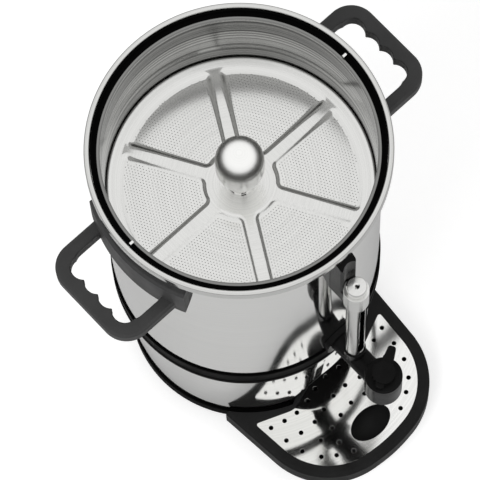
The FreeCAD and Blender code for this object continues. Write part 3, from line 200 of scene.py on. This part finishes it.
def moulding(name, pale, deep, smooth, rough, grain, depth, shine):
    """Moulded part with tool grain and slowly changing gloss."""
    material, tree = new_finish(name)
    place = add(tree, "ShaderNodeTexCoord").outputs["Object"]
    grains = add(tree, "ShaderNodeTexNoise", {"Vector": place, "Scale": per_mm(grain), "Detail": 2.0})
    wear = add(tree, "ShaderNodeTexNoise", {"Vector": place, "Scale": per_mm(WEAR_SIZE), "Detail": 3.0})
    tone = add(tree, "ShaderNodeMix", {0: wear.outputs[0], 6: colour(deep), 7: colour(pale)},
               data_type="RGBA")
    gloss = add(tree, "ShaderNodeMapRange", {
        "Value": wear.outputs[0], "From Min": NOISE_LOW, "From Max": NOISE_HIGH,
        "To Min": smooth, "To Max": rough})
    relief = add(tree, "ShaderNodeBump", {
        "Height": grains.outputs[0], "Strength": depth, "Distance": MARK_HEIGHT})
    shader = add(tree, "ShaderNodeBsdfPrincipled", {
        "Base Color": tone.outputs[2], "Roughness": gloss.outputs[0], "Specular IOR Level": shine,
        "IOR": 1.5, "Normal": relief.outputs[0]})
    add(tree, "ShaderNodeOutputMaterial", {0: shader.outputs[0]})
    return material


# Glossy ABS: near black, and mirrors the white round it only along its rounded edges.
gloss_abs = moulding("abs_moulded_gloss_black", "#1A1A1A", "#0C0C0C", 0.14, 0.26, 0.8, 0.05, 0.04)
# Tray ABS: a shade lighter than the tap all over. The lighter tone is painted sheen for its broad top,
# whose own shine is kept low so that its sides stay dark.
tray_abs = moulding("abs_moulded_tray_black", "#2A2A2A", "#1C1C1C", 0.26, 0.40, 0.8, 0.08, 0.02)
# Silk ABS: the lid seat and belt swallow the light and keep one soft line along their edges.
silk_abs = moulding("abs_moulded_silk_black", "#0A0A0A", "#040404", 0.34, 0.46, 0.8, 0.10, 0.01)
# Glass filled nylon: charcoal with a dull sheen, a little lighter where hands rub it.
handle_nylon = moulding("nylon_glass_filled_charcoal", "#484848", "#383838", 0.42, 0.56, 0.7, 0.25, 0.14)
# Grey ABS for the tap's plug: plain, slightly rough.
grey_abs = moulding("abs_moulded_grey", "#6E6E6C", "#606060", 0.38, 0.50, 0.7, 0.15, 0.40)
# Rubber: matt black that shows almost no highlight.
foot_rubber = moulding("natural_rubber_black", "#141414", "#0A0A0A", 0.70, 0.85, 0.9, 0.30, 0.30)
print("mouldings", gloss_abs.name, tray_abs.name, silk_abs.name, handle_nylon.name, grey_abs.name)

# %% [markdown]
# The small fittings are of other metals: zinc plated screws, aluminium heater castings and brass inlet
# pins. Each gets the pattern that its making leaves: spangle on zinc, sand on the castings and a fine
# grain on brass. One recipe serves all three, because only the pattern's size and strength differ.

# %% Metals of the small parts
def small_metal(name, pale, deep, smooth, rough, feature, depth):
    """Bare or plated metal with one pattern of its own."""
    material, tree = new_finish(name)
    place = add(tree, "ShaderNodeTexCoord").outputs["Object"]
    cells = add(tree, "ShaderNodeTexVoronoi", {"Vector": place, "Scale": per_mm(feature)})
    grit = add(tree, "ShaderNodeTexNoise", {"Vector": place, "Scale": per_mm(feature / 2), "Detail": 2.0})
    tone = add(tree, "ShaderNodeMix", {0: cells.outputs["Color"], 6: colour(deep), 7: colour(pale)},
               data_type="RGBA")
    gloss = add(tree, "ShaderNodeMapRange", {
        "Value": grit.outputs[0], "From Min": NOISE_LOW, "From Max": NOISE_HIGH,
        "To Min": smooth, "To Max": rough})
    relief = add(tree, "ShaderNodeBump", {
        "Height": grit.outputs[0], "Strength": depth, "Distance": MARK_HEIGHT})
    shader = add(tree, "ShaderNodeBsdfPrincipled", {
        "Base Color": tone.outputs[2], "Metallic": 1.0, "Roughness": gloss.outputs[0],
        "Normal": relief.outputs[0]})
    add(tree, "ShaderNodeOutputMaterial", {0: shader.outputs[0]})
    return material


# Zinc plate: cool grey patches of slightly different brightness.
zinc_plate = small_metal("steel_zinc_plated", "#C2C6CA", "#A8ACB0", 0.28, 0.42, 3.0, 0.10)
# Sand cast aluminium: pale, dull and pitted.
cast_aluminium = small_metal("aluminium_sand_cast", "#B4B4B2", "#9C9C9A", 0.45, 0.65, 1.2, 0.60)
# Turned brass: warm yellow with a fine grain.
turned_brass = small_metal("brass_turned", "#C8A860", "#B09048", 0.22, 0.32, 1.0, 0.10)
print("metals", zinc_plate.name, cast_aluminium.name, turned_brass.name)

# %% [markdown]
# The sight glass, the ceramic insulators and the amber lenses are dense and smooth, and differ mostly in
# how much light goes through them. Glaze, drawn glass and a moulded lens all ripple a little, so one noise
# bends the three. The inside of a punched hole is only shade, and a dull moulding's recipe stands in for it.

# %% Ceramic, glass, lens and the dark of a small hole
def glassy(name, body, through, index, rough, feature, depth):
    """Smooth dense material that passes a share of the light through."""
    material, tree = new_finish(name)
    place = add(tree, "ShaderNodeTexCoord").outputs["Object"]
    ripple = add(tree, "ShaderNodeTexNoise", {"Vector": place, "Scale": per_mm(feature), "Detail": 1.0})
    relief = add(tree, "ShaderNodeBump", {
        "Height": ripple.outputs[0], "Strength": depth, "Distance": MARK_HEIGHT})
    shader = add(tree, "ShaderNodeBsdfPrincipled", {
        "Base Color": colour(body), "Roughness": rough, "IOR": index, "Transmission Weight": through,
        "Normal": relief.outputs[0]})
    add(tree, "ShaderNodeOutputMaterial", {0: shader.outputs[0]})
    return material


# Borosilicate glass: clear, with the faint ripple of a drawn tube.
tube_glass = glassy("borosilicate_glass_drawn", "#FBFDFC", 1.0, 1.47, 0.02, 20.0, 0.05)
# Glazed steatite: cream with a soft gloss.
cream_ceramic = glassy("steatite_ceramic_glazed", "#E6DDC8", 0.0, 1.55, 0.25, 4.0, 0.20)
# Amber polycarbonate: glows a little by what passes through it.
amber_lens = glassy("polycarbonate_amber_lens", "#E8902C", 0.5, 1.58, 0.12, 2.0, 0.30)
# The shade inside a hole in thin sheet.
hole_shade = moulding("shade_of_a_punched_hole", "#5C5C5A", "#4C4C4A", 0.60, 0.70, 0.5, 0.05, 0.20)
print("others", tube_glass.name, cream_ceramic.name, amber_lens.name, hole_shade.name)

# %% [markdown]
# Sheet metal urns are spun or rolled, so most of their walls are an outline turned about an axis. Turning
# it here in 256 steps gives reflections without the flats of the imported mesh. A rounded corner is an arc
# between its two sides, and the function walks it in steps of at most 12 degrees.

# %% Turn an outline into a smooth piece
MM = 0.001
TURN_STEPS = 256
ARC_STEP = 12.0        # degrees, the longest step round a rounded corner
ON_AXIS = 0.001        # mm, a point nearer to the axis than this is on it


def rounded(corners):
    """Outline points from corners (across, up, rounding) in millimetres."""
    points = []
    for i, corner in enumerate(corners):
        here = Vector(corner[:2])
        radius = corner[2] if len(corner) > 2 else 0.0
        if radius == 0.0:
            points.append(here)
            continue
        before = (Vector(corners[i - 1][:2]) - here).normalized()
        after = (Vector(corners[(i + 1) % len(corners)][:2]) - here).normalized()
        half = before.angle(after) / 2
        centre = here + (before + after).normalized() * (radius / math.sin(half))
        start = here + before * (radius / math.tan(half)) - centre
        end = here + after * (radius / math.tan(half)) - centre
        sweep = math.atan2(start.x * end.y - start.y * end.x, start.dot(end))
        count = max(2, math.ceil(abs(math.degrees(sweep)) / ARC_STEP))
        for k in range(count + 1):
            a = sweep * k / count
            turned_start = (start.x * math.cos(a) - start.y * math.sin(a),
                            start.x * math.sin(a) + start.y * math.cos(a))
            points.append(centre + Vector(turned_start))
    return points


def turned_mesh(name, corners, axis=(0.0, 0.0), steps=TURN_STEPS):
    """Closed mesh turned about an upright axis, given in millimetres."""
    shape = bmesh.new()
    rings = []
    for across, height in rounded(corners):
        count = 1 if across < ON_AXIS else steps
        ring = []
        for k in range(count):
            a = 2 * math.pi * k / steps
            x = axis[0] + across * math.cos(a)
            y = axis[1] + across * math.sin(a)
            ring.append(shape.verts.new((x * MM, y * MM, height * MM)))
        rings.append(ring)
    for low, high in zip(rings, rings[1:] + rings[:1]):
        for k in range(steps):
            round_face = []
            for vert in (low[k % len(low)], low[(k + 1) % len(low)],
                         high[(k + 1) % len(high)], high[k % len(high)]):
                if vert not in round_face:
                    round_face.append(vert)
            if len(round_face) > 2:
                shape.faces.new(round_face)
    bmesh.ops.remove_doubles(shape, verts=shape.verts, dist=1e-7)
    bmesh.ops.recalc_face_normals(shape, faces=shape.faces)
    mesh = bpy.data.meshes.new(name)
    shape.to_mesh(mesh)
    shape.free()
    return mesh


print("steps round a turned piece", TURN_STEPS)

# %% [markdown]
# A curved wall looks smooth when its shading follows the true curve, and an edge looks crisp when it
# doesn't. Blender splits the two at an angle. Where a wall was cut afterwards, its shading is aimed
# again along the radius, so the cut leaves no dent in the mirror. Each finished mesh becomes a piece that
# stands for its solids and moves with their body.

# %% Shade, bake and place a piece
LEVEL_FACE = 0.05      # a normal with less sideways share than this looks straight up or down
NEAR_AXIS = 1e-5       # m, too near to the axis to have a radius
ALONG_RADIUS = 0.99    # a normal this close to the radius belongs to the turned wall


def linked(name, data):
    """Object of this data, in the scene."""
    made = bpy.data.objects.new(name, data)
    bpy.context.scene.collection.objects.link(made)
    return made


def frozen(helper):
    """Mesh of a helper object after its modifiers. The helper goes."""
    graph = bpy.context.evaluated_depsgraph_get()
    mesh = bpy.data.meshes.new_from_object(helper.evaluated_get(graph), depsgraph=graph)
    bpy.data.objects.remove(helper)
    return mesh


def shade(mesh, degrees=32.0, axis=None):
    """Smooth shading up to an angle, and exact on walls that turn about an axis."""
    mesh.shade_smooth()
    mesh.set_sharp_from_angle(angle=math.radians(degrees))
    if axis is None:
        return
    aimed = []
    for loop, corner in zip(mesh.loops, mesh.corner_normals):
        normal = corner.vector.copy()
        place = mesh.vertices[loop.vertex_index].co
        out = Vector((place.x - axis[0] * MM, place.y - axis[1] * MM, 0.0))
        flat = math.hypot(normal.x, normal.y)
        if flat > LEVEL_FACE and out.length > NEAR_AXIS:
            out.normalize()
            share = (normal.x * out.x + normal.y * out.y) / flat
            if abs(share) > ALONG_RADIUS:
                side = math.copysign(flat, share)
                normal = Vector((out.x * side, out.y * side, normal.z))
        aimed.append(normal)
    mesh.normals_split_custom_set(aimed)


def baked(mesh, *modifiers):
    """Mesh after its modifiers, each given as its kind and its settings."""
    helper = linked("helper", mesh)
    for kind, settings in modifiers:
        modifier = helper.modifiers.new(kind.lower(), kind)
        for name, value in settings.items():
            setattr(modifier, name, value)
    return frozen(helper)


def place_piece(name, mesh, material, slot, body, *nodes):
    """Piece that stands for these nodes and moves with their body."""
    piece = linked(name, mesh)
    if material is not None:
        mesh.materials.clear()
        mesh.materials.append(material)
    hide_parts(*nodes)
    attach(piece, body)
    print(name, "faces", len(mesh.polygons))


# %% [markdown]
# The top edge is three rings. A rolled steel bead stiffens the shell, a black lid seat drops into it, and
# the vessel hangs by its turned out lip on that seat. Their outlines follow the solids and gain finer
# steps, because any flat on the bead would show as a kink in its line of light.

# %% Rim, lid seat and vessel
rim = turned_mesh("rolled_rim", [
    (144.3, 520.0, 2.4), (149.98, 520.0, 2.8), (149.98, 508.0, 1.0),
    (136.4, 508.0), (136.4, 509.2), (144.3, 509.2)])
shade(rim, axis=(0, 0))
place_piece("rolled_rim", rim, bead_steel, "polished_steel", "urn", "rim_bead")

seat = turned_mesh("black_lid_seat", [
    (136.4, 509.2), (144.0, 509.2), (144.0, 517.5, 0.6), (142.3, 517.5, 0.6), (142.3, 511.2, 1.0),
    (136.4, 511.2)])
shade(seat, axis=(0, 0))
place_piece("black_lid_seat", seat, silk_abs, "black_plastic", "urn", "lid_seat")

vessel = turned_mesh("hanging_vessel", [
    (0.0, 193.0), (38.0, 193.0, 3.0), (40.0, 202.0, 3.0), (134.5, 202.0, 8.0), (134.5, 512.1, 0.6),
    (138.1, 512.1, 0.4), (138.1, 511.2), (135.4, 511.2), (135.4, 201.1, 8.9), (40.9, 201.1, 2.0),
    (38.9, 192.1, 3.0), (0.0, 192.1)])
shade(vessel, axis=(0, 0))
place_piece("hanging_vessel", vessel, brushed_steel_painted_shade, "satin_steel", "urn", "inner_container")

# %% [markdown]
# The body is a plain rolled tube, and the black belt hides where it meets the base. The belt is a
# moulding with two standing lips and a shallow channel, and its lips catch a thin line of light.

# %% Body tube and belt
tube = turned_mesh("polished_body", [(138.6, 196.0), (139.5, 196.0), (139.5, 508.0), (138.6, 508.0)])
shade(tube, axis=(0, 0))
place_piece("polished_body", tube, mirror_steel, "polished_steel", "urn", "outer_shell")

belt = turned_mesh("black_belt", [
    (139.8, 180.0), (141.3, 180.0, 0.8), (141.3, 186.0, 0.6), (140.6, 188.0, 0.6), (140.6, 201.0, 0.6),
    (141.3, 203.0, 0.6), (141.3, 209.0, 0.8), (139.8, 209.0), (139.8, 196.0), (136.4, 196.0),
    (136.4, 193.0), (139.8, 193.0)])
shade(belt, axis=(0, 0))
place_piece("black_belt", belt, silk_abs, "black_plastic", "urn", "belt_ring")

# %% [markdown]
# The base is a cone of the same sheet with an arch cut in its front, where cups slide in under the tap.
# The cutter is the recess itself: a round scoop that leans forward at its roof. Blender's exact boolean
# cuts it, and the switch, lamps and inlet get their openings in the same way, from plain blocks.

# %% Base skirt with its cup arch
SCOOP_AXIS = (0.0, -217.5)
SWITCH_TURN = -28.0    # degrees round the urn, from its right side towards its back
INLET_TURN = 90.0
LAMP_LEAN = 3.5        # degrees from the switch's middle to each lamp


def block(corners, degrees):
    """Cutting block between two corners in millimetres, turned about the urn's axis."""
    shape = bmesh.new()
    bmesh.ops.create_cube(shape, size=1.0)
    low, high = (Vector(corner) * MM for corner in corners)
    for vert in shape.verts:
        spot = [low[i] + (vert.co[i] + 0.5) * (high[i] - low[i]) for i in range(3)]
        vert.co = Matrix.Rotation(math.radians(degrees), 3, "Z") @ Vector(spot)
    mesh = bpy.data.meshes.new("block")
    shape.to_mesh(mesh)
    shape.free()
    return linked("block", mesh)


def cut(mesh, tools):
    """Mesh with the tools taken out of it one after the other. The tools go."""
    for tool in tools:
        mesh = baked(mesh, ("BOOLEAN", {"operation": "DIFFERENCE", "object": tool, "solver": "EXACT"}))
    for tool in tools:
        bpy.data.objects.remove(tool)
    return mesh


scoop = linked("scoop", turned_mesh("scoop", [
    (0.0, -5.0), (110.0, -5.0), (110.0, 42.0, 30.0), (87.1, 93.0), (0.0, 93.0)], axis=SCOOP_AXIS))
switch_block = block(((105.0, -13.3, 85.7), (145.0, 13.3, 122.3)), SWITCH_TURN)
inlet_block = block(((100.0, -15.3, 49.7), (145.0, 15.3, 74.3)), INLET_TURN)
lamp_blocks = [block(((118.0, -3.6, 134.4), (145.0, 3.6, 141.6)), SWITCH_TURN + lean)
               for lean in (-LAMP_LEAN, LAMP_LEAN)]
skirt = cut(turned_mesh("base_skirt", [
    (139.5, 193.0), (139.5, 180.0), (127.2, 20.0), (126.3, 20.0), (138.6, 180.0), (138.6, 193.0)]),
    [scoop, switch_block, inlet_block, *lamp_blocks])
shade(skirt, axis=(0, 0))
place_piece("polished_skirt", skirt, mirror_steel, "polished_steel", "urn", "base_skirt")

# %% [markdown]
# The spreader cover is one pressing: six sunken pans between ribs, a flat hub, and an outer ring that rises
# a little before its edge turns down beside the vessel's wall. Its height at any point follows from how
# far inside a pan's edge the point lies, with the corners rounded by the same rule. A polar net of points
# takes that height, which gives the soft shoulders of pressed sheet.

# %% Spreader cover
COVER_TOP = 413.0
COVER_SHEET = 1.0
PAN_DEPTH = 2.8
PAN_OUTER = 123.5
HUB = 33.0
RIB_HALF = 3.6
PAN_CORNER = 8.0
SHOULDER = 7.0
NET_TURNS = 420
NET_RINGS = 95
COVER_INNER = 8.6
COVER_OUTER = 134.0
EDGE_BEND = 132.6      # the sheet turns down outside this radius
RING_SLOPE = 0.16      # the outer ring rises towards its edge


def pan_share(across, angle):
    """0 on the ribs and rings, 1 on a pan's floor."""
    lean = math.radians(30) - abs(math.radians(30) - angle % math.radians(60))
    inside = (PAN_OUTER - across, across - HUB, across * math.sin(lean) - RIB_HALF)
    gaps = [max(PAN_CORNER - depth, 0.0) for depth in inside]
    deep = PAN_CORNER - math.sqrt(sum(gap * gap for gap in gaps))
    share = max(0.0, min(1.0, deep / SHOULDER))
    return share * share * (3 - 2 * share)


def cover_mesh():
    """Closed pressing with a pan attribute for its perforations."""
    shape = bmesh.new()
    pan = shape.verts.layers.float.new("pan")
    skins = []
    for drop in (0.0, COVER_SHEET):
        net = []
        for ring in range(NET_RINGS + 1):
            across = COVER_INNER + (COVER_OUTER - COVER_INNER) * ring / NET_RINGS
            row = []
            for k in range(NET_TURNS):
                angle = 2 * math.pi * k / NET_TURNS
                share = pan_share(across, angle)
                rise = RING_SLOPE * max(0.0, across - PAN_OUTER) - max(0.0, across - EDGE_BEND)
                height = COVER_TOP - PAN_DEPTH * share + rise - drop
                x, y = across * math.cos(angle), across * math.sin(angle)
                vert = shape.verts.new((x * MM, y * MM, height * MM))
                vert[pan] = share
                row.append(vert)
            net.append(row)
        skins.append(net)
    top, under = skins
    for k in range(NET_TURNS):
        n = (k + 1) % NET_TURNS
        for ring in range(NET_RINGS):
            shape.faces.new((top[ring][k], top[ring + 1][k], top[ring + 1][n], top[ring][n]))
            shape.faces.new((under[ring][n], under[ring + 1][n], under[ring + 1][k], under[ring][k]))
        shape.faces.new((top[-1][k], under[-1][k], under[-1][n], top[-1][n]))
        shape.faces.new((top[0][n], under[0][n], under[0][k], top[0][k]))
    mesh = bpy.data.meshes.new("spreader_pressing")
    shape.to_mesh(mesh)
    shape.free()
    return mesh


pressing = cover_mesh()
shade(pressing, 50.0)
pressing.materials.append(satin_steel)
print("pressing faces", len(pressing.polygons))

# %% [markdown]
# Water falls from the dome onto the pans and drips through rows of small punched holes. They repeat more
# than three thousand times, which is what Geometry Nodes are for: two nets of points, one set half a step
# off the other, make staggered rows, every point that isn't over a pan's floor is deleted, and a small
# dark disc lands on each one that is left. The sheet isn't pierced: each disc is painted shade for a hole.

# %% Perforations as painted shade, by Geometry Nodes
HOLE_PITCH = 3.2
HOLE_WIDTH = 0.9
HOLE_LIFT = 0.03       # keeps a disc just clear of the sheet
HOLE_CORNERS = 10
FLOOR_SHARE = 0.995    # the pan attribute reaches this on a pan's floor


def painted_hole_tree():
    """Tree that lays a disc of painted shade for each punched hole on the pans of the geometry it is given.
    """
    tree = bpy.data.node_groups.new("painted_hole_shade", "GeometryNodeTree")
    face = tree.interface
    face.new_socket("Sheet", in_out="INPUT", socket_type="NodeSocketGeometry")
    for label in ("Pitch", "Hole width", "Floor height"):
        face.new_socket(label, in_out="INPUT", socket_type="NodeSocketFloat")
    face.new_socket("Sheet", in_out="OUTPUT", socket_type="NodeSocketGeometry")
    given = add(tree, "NodeGroupInput").outputs
    rows = 2 * round(COVER_OUTER / (HOLE_PITCH * math.sqrt(3))) + 1
    columns = 2 * round(COVER_OUTER / HOLE_PITCH) + 1
    deep = add(tree, "ShaderNodeMath", {0: given["Pitch"], 1: math.sqrt(3) * (rows - 1)},
               operation="MULTIPLY")
    wide = add(tree, "ShaderNodeMath", {0: given["Pitch"], 1: columns - 1.0}, operation="MULTIPLY")
    net = add(tree, "GeometryNodeMeshGrid", {
        "Size X": wide.outputs[0], "Size Y": deep.outputs[0], "Vertices X": columns, "Vertices Y": rows})
    half = add(tree, "ShaderNodeMath", {0: given["Pitch"], 1: 0.5}, operation="MULTIPLY")
    half_deep = add(tree, "ShaderNodeMath", {0: given["Pitch"], 1: math.sqrt(3) / 2}, operation="MULTIPLY")
    step = add(tree, "ShaderNodeCombineXYZ", {0: half.outputs[0], 1: half_deep.outputs[0]})
    second = add(tree, "GeometryNodeTransform", {"Geometry": net.outputs[0], "Translation": step.outputs[0]})
    both = add(tree, "GeometryNodeJoinGeometry", {0: net.outputs[0]})
    tree.links.new(second.outputs[0], both.inputs[0])
    lift = add(tree, "ShaderNodeCombineXYZ", {2: given["Floor height"]})
    raised = add(tree, "GeometryNodeTransform", {"Geometry": both.outputs[0], "Translation": lift.outputs[0]})
    depth = add(tree, "GeometryNodeInputNamedAttribute", {"Name": "pan"}, data_type="FLOAT")
    sample = add(tree, "GeometryNodeSampleNearestSurface", {
        "Mesh": given["Sheet"], "Value": depth.outputs[0]}, data_type="FLOAT")
    off_pan = add(tree, "ShaderNodeMath", {0: sample.outputs[0], 1: FLOOR_SHARE}, operation="LESS_THAN")
    over_pan = add(tree, "GeometryNodeDeleteGeometry", {
        "Geometry": raised.outputs[0], "Selection": off_pan.outputs[0]})
    radius = add(tree, "ShaderNodeMath", {0: given["Hole width"], 1: 0.5}, operation="MULTIPLY")
    disc = add(tree, "GeometryNodeMeshCircle", {"Vertices": HOLE_CORNERS, "Radius": radius.outputs[0]},
               fill_type="NGON")
    # Each disc is painted shade, dark grey where a hole would look dark; the sheet under it stays whole.
    dark = add(tree, "GeometryNodeSetMaterial", {"Geometry": disc.outputs[0], "Material": hole_shade})
    holes = add(tree, "GeometryNodeInstanceOnPoints", {
        "Points": over_pan.outputs[0], "Instance": dark.outputs[0]})
    real = add(tree, "GeometryNodeRealizeInstances", {0: holes.outputs[0]})
    joined = add(tree, "GeometryNodeJoinGeometry", {0: given["Sheet"]})
    tree.links.new(real.outputs[0], joined.inputs[0])
    add(tree, "NodeGroupOutput", {0: joined.outputs[0]})
    return tree


def grown(mesh, tree, values):
    """Mesh after a Geometry Nodes tree, whose inputs are set by their labels."""
    helper = linked("helper", mesh)
    modifier = helper.modifiers.new("nodes", "NODES")
    modifier.node_group = tree
    for item in tree.interface.items_tree:
        if item.item_type == "SOCKET" and item.in_out == "INPUT" and item.name in values:
            modifier[item.identifier] = values[item.name]
    return frozen(helper)


before = len(pressing.polygons)
cover = grown(pressing, painted_hole_tree(), {
    "Pitch": HOLE_PITCH * MM, "Hole width": HOLE_WIDTH * MM,
    "Floor height": (COVER_TOP - PAN_DEPTH + HOLE_LIFT) * MM})
print("holes", len(cover.polygons) - before)
place_piece("spreader_pressing", cover, None, "satin_steel", "cover", "spreader_cover")

# %% [markdown]
# The dome is spun from thin sheet and polished. It swells above a narrow neck, and water leaves through
# six windows low in the neck. A turned outline gives its round crown, and blocks cut the windows.

# %% Polished spray dome
dome = turned_mesh("polished_dome", [
    (12.0, 413.0), (12.0, 416.0, 3.0), (24.8, 458.0, 80.0), (23.8, 503.0, 22.0), (0.0, 503.0),
    (0.0, 502.0), (22.8, 502.0, 21.0), (23.8, 458.0, 79.0), (11.0, 416.0, 4.0), (11.0, 413.0)], steps=128)
dome = cut(dome, [block(((9.0, -2.5, 414.0), (16.0, 2.5, 417.0)), 60.0 * k) for k in range(6)])
shade(dome, axis=(0, 0))
place_piece("polished_dome", dome, spun_steel, "polished_steel", "cover", "spray_dome")

# %% [markdown]
# The mouldings and the small fittings keep the shapes of their solids. A copy of each has its triangles
# welded and its flats joined, a narrow bevel takes the sharpness off edges that a mould or a file would
# never leave sharp, and weighted shading keeps the flats flat beside it.

# %% Soften the moulded and machined parts
WELD = 2e-6            # m, points nearer to each other than this become one
FLAT_JOIN = 0.5        # degrees, faces that turn less than this are one flat
CREASE = 35.0          # degrees, an edge that turns more than this is eased


def soften(node, material, slot, bevel):
    """Piece with a solid's shape and eased edges. bevel is in millimetres, and 0 keeps the edges."""
    source = frame["nodes"][node]
    shape = bmesh.new()
    shape.from_mesh(source.data)
    bmesh.ops.remove_doubles(shape, verts=shape.verts, dist=WELD)
    bmesh.ops.dissolve_limit(shape, angle_limit=math.radians(FLAT_JOIN), verts=shape.verts,
                             edges=shape.edges)
    mesh = bpy.data.meshes.new(node)
    shape.to_mesh(mesh)
    shape.free()
    modifiers = []
    if bevel:
        modifiers.append(("BEVEL", {"width": bevel * MM, "segments": 2, "limit_method": "ANGLE",
                                    "angle_limit": math.radians(CREASE), "use_clamp_overlap": True}))
    mesh = baked(mesh, *modifiers)
    shade(mesh, CREASE)
    mesh = baked(mesh, ("WEIGHTED_NORMAL", {"keep_sharp": True}))
    place_piece("eased_" + node, mesh, material, slot, source["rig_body"], node)


soften("handle_right", handle_nylon, "grey_plastic", 0.0)
soften("handle_left", handle_nylon, "grey_plastic", 0.0)
soften("gauge_bracket", gloss_abs, "black_plastic", 0.6)
soften("gauge_nut", satin_steel, "polished_steel", 0.4)
soften("gauge_cap", satin_steel, "polished_steel", 0.0)
soften("gauge_guard", satin_steel, "polished_steel", 0.15)
soften("tap_body", gloss_abs, "black_plastic", 0.7)
soften("tap_bonnet", gloss_abs, "black_plastic", 0.3)
soften("tap_lever", gloss_abs, "black_plastic", 0.8)
soften("drip_tray", tray_abs, "black_plastic", 0.5)
soften("drip_grid", mirror_steel, "polished_steel", 0.3)
soften("recess_panel", silk_abs, "black_plastic", 0.0)
soften("foot_ring", silk_abs, "black_plastic", 0.0)
soften("foot_pads", foot_rubber, "rubber", 0.0)
soften("lid_lugs", mirror_steel, "polished_steel", 0.4)
soften("switch_frame", gloss_abs, "black_plastic", 0.4)
soften("switch_rocker", gloss_abs, "black_plastic", 0.4)
soften("pilot_lamps", amber_lens, "lamp_lens", 0.0)
soften("inlet_socket", gloss_abs, "black_plastic", 0.4)

# %% [markdown]
# What stays inside keeps its solids and only takes its finish: the glass and its seals, the tap's plug,
# nut and washer, the basket and riser, and the heating group with its rod, nuts and thermostats.

# %% Finish the parts that keep their solids
kept = {
    "sight_glass": tube_glass, "gauge_seals": foot_rubber, "tap_plug": grey_abs, "tap_nut": zinc_plate,
    "tap_washer": foot_rubber, "filter_basket": brushed_steel_painted_shade, "riser_tube": brushed_steel_painted_shade,
    "riser_bell": brushed_steel_painted_shade, "pump_heater": cast_aluminium, "warming_heater": cast_aluminium,
    "heater_clamp": zinc_plate, "tie_rod": zinc_plate, "tie_nuts": zinc_plate, "thermostats": cream_ceramic,
    "terminal_block": cream_ceramic, "bottom_plate": zinc_plate, "foot_screws": zinc_plate,
    "handle_screws": zinc_plate, "inlet_pins": turned_brass,
}
for node, material in kept.items():
    mesh = frame["nodes"][node].data
    mesh.materials.clear()
    mesh.materials.append(material)
bare = [name for name, node in frame["nodes"].items() if name not in kept and not node.hide_render]
print("finished", len(kept), "kept solids, left bare", bare)

# %% [markdown]
# The urn stands on a pale floor under plain soft light. Two large lamps give shape, the world fills the
# shadows, and the camera sees the world as white. Mirrors see it greyer towards the horizon, which gives
# upright steel its soft dark bands. Mirrors don't see the lamps, so polished steel keeps free of burnt
# spots. The floor adds a little light of its own for the camera only, so it reads as white paper and still
# keeps the urn's shadow.

# %% Floor, world and lamps
FLOOR_EDGE = 4.0       # m from the urn's axis to each edge
FLOOR_LIFT = 0.54      # light that the floor adds for the camera
FILL_LIGHT = 0.55      # what the world gives to dull surfaces
HORIZON_LIGHT = 0.35   # what a mirror sees level with itself
SKY_HEIGHT = 0.4       # a ray that climbs this much in 1 sees the full white
URN_MIDDLE = Vector((0, 0, 0.25))

floor_mesh = bpy.data.meshes.new("floor")
corners = [(x * FLOOR_EDGE, y * FLOOR_EDGE, 0) for x, y in ((-1, -1), (1, -1), (1, 1), (-1, 1))]
floor_mesh.from_pydata(corners, [], [(0, 1, 2, 3)])
floor = linked("floor", floor_mesh)
paper, tree = new_finish("matt_white_paper")
path = add(tree, "ShaderNodeLightPath")
lift = add(tree, "ShaderNodeMath", {0: path.outputs["Is Camera Ray"], 1: FLOOR_LIFT},
           operation="MULTIPLY")
matt = add(tree, "ShaderNodeBsdfDiffuse", {"Color": colour("#DADADA")})
glow = add(tree, "ShaderNodeEmission", {"Color": colour("#FFFFFF"), "Strength": lift.outputs[0]})
total = add(tree, "ShaderNodeAddShader", {0: matt.outputs[0], 1: glow.outputs[0]})
add(tree, "ShaderNodeOutputMaterial", {0: total.outputs[0]})
floor_mesh.materials.append(paper)

world = bpy.data.worlds.new("studio")
world.use_nodes = True
tree = world.node_tree
tree.nodes.clear()
path = add(tree, "ShaderNodeLightPath")
seen = add(tree, "ShaderNodeMath", {0: path.outputs["Is Camera Ray"], 1: path.outputs["Is Glossy Ray"]},
           operation="MAXIMUM")
white = add(tree, "ShaderNodeMath", {0: seen.outputs[0], 1: path.outputs["Is Transmission Ray"]},
            operation="MAXIMUM")
fill = add(tree, "ShaderNodeBackground", {"Color": colour("#FFFFFF"), "Strength": FILL_LIGHT})
ray = add(tree, "ShaderNodeTexCoord").outputs["Generated"]
height = add(tree, "ShaderNodeSeparateXYZ", {0: ray}).outputs[2]
level = add(tree, "ShaderNodeMapRange", {"Value": height, "From Min": 0.0, "From Max": SKY_HEIGHT,
                                         "To Min": HORIZON_LIGHT, "To Max": 1.0})
plain = add(tree, "ShaderNodeMath", {0: path.outputs["Is Camera Ray"], 1: level.outputs[0]},
            operation="MAXIMUM")
shown = add(tree, "ShaderNodeBackground", {"Color": colour("#FFFFFF"), "Strength": plain.outputs[0]})
choice = add(tree, "ShaderNodeMixShader", {0: white.outputs[0], 1: fill.outputs[0], 2: shown.outputs[0]})
add(tree, "ShaderNodeOutputWorld", {0: choice.outputs[0]})
bpy.context.scene.world = world


def lamp(name, place, size, power):
    """Square soft lamp aimed at the urn."""
    light = bpy.data.lights.new(name, "AREA")
    light.size = size
    light.energy = power
    holder = linked(name, light)
    aim = (Vector(place) - URN_MIDDLE).to_track_quat("Z", "Y").to_matrix()
    holder.matrix_world = Matrix.Translation(place) @ aim.to_4x4()
    holder.visible_glossy = False


lamp("key_lamp", (-1.9, -0.3, 2.2), 1.4, 26.0)
lamp("side_lamp", (1.6, -1.4, 2.0), 1.2, 12.0)
bpy.context.scene.view_settings.view_transform = "Standard"
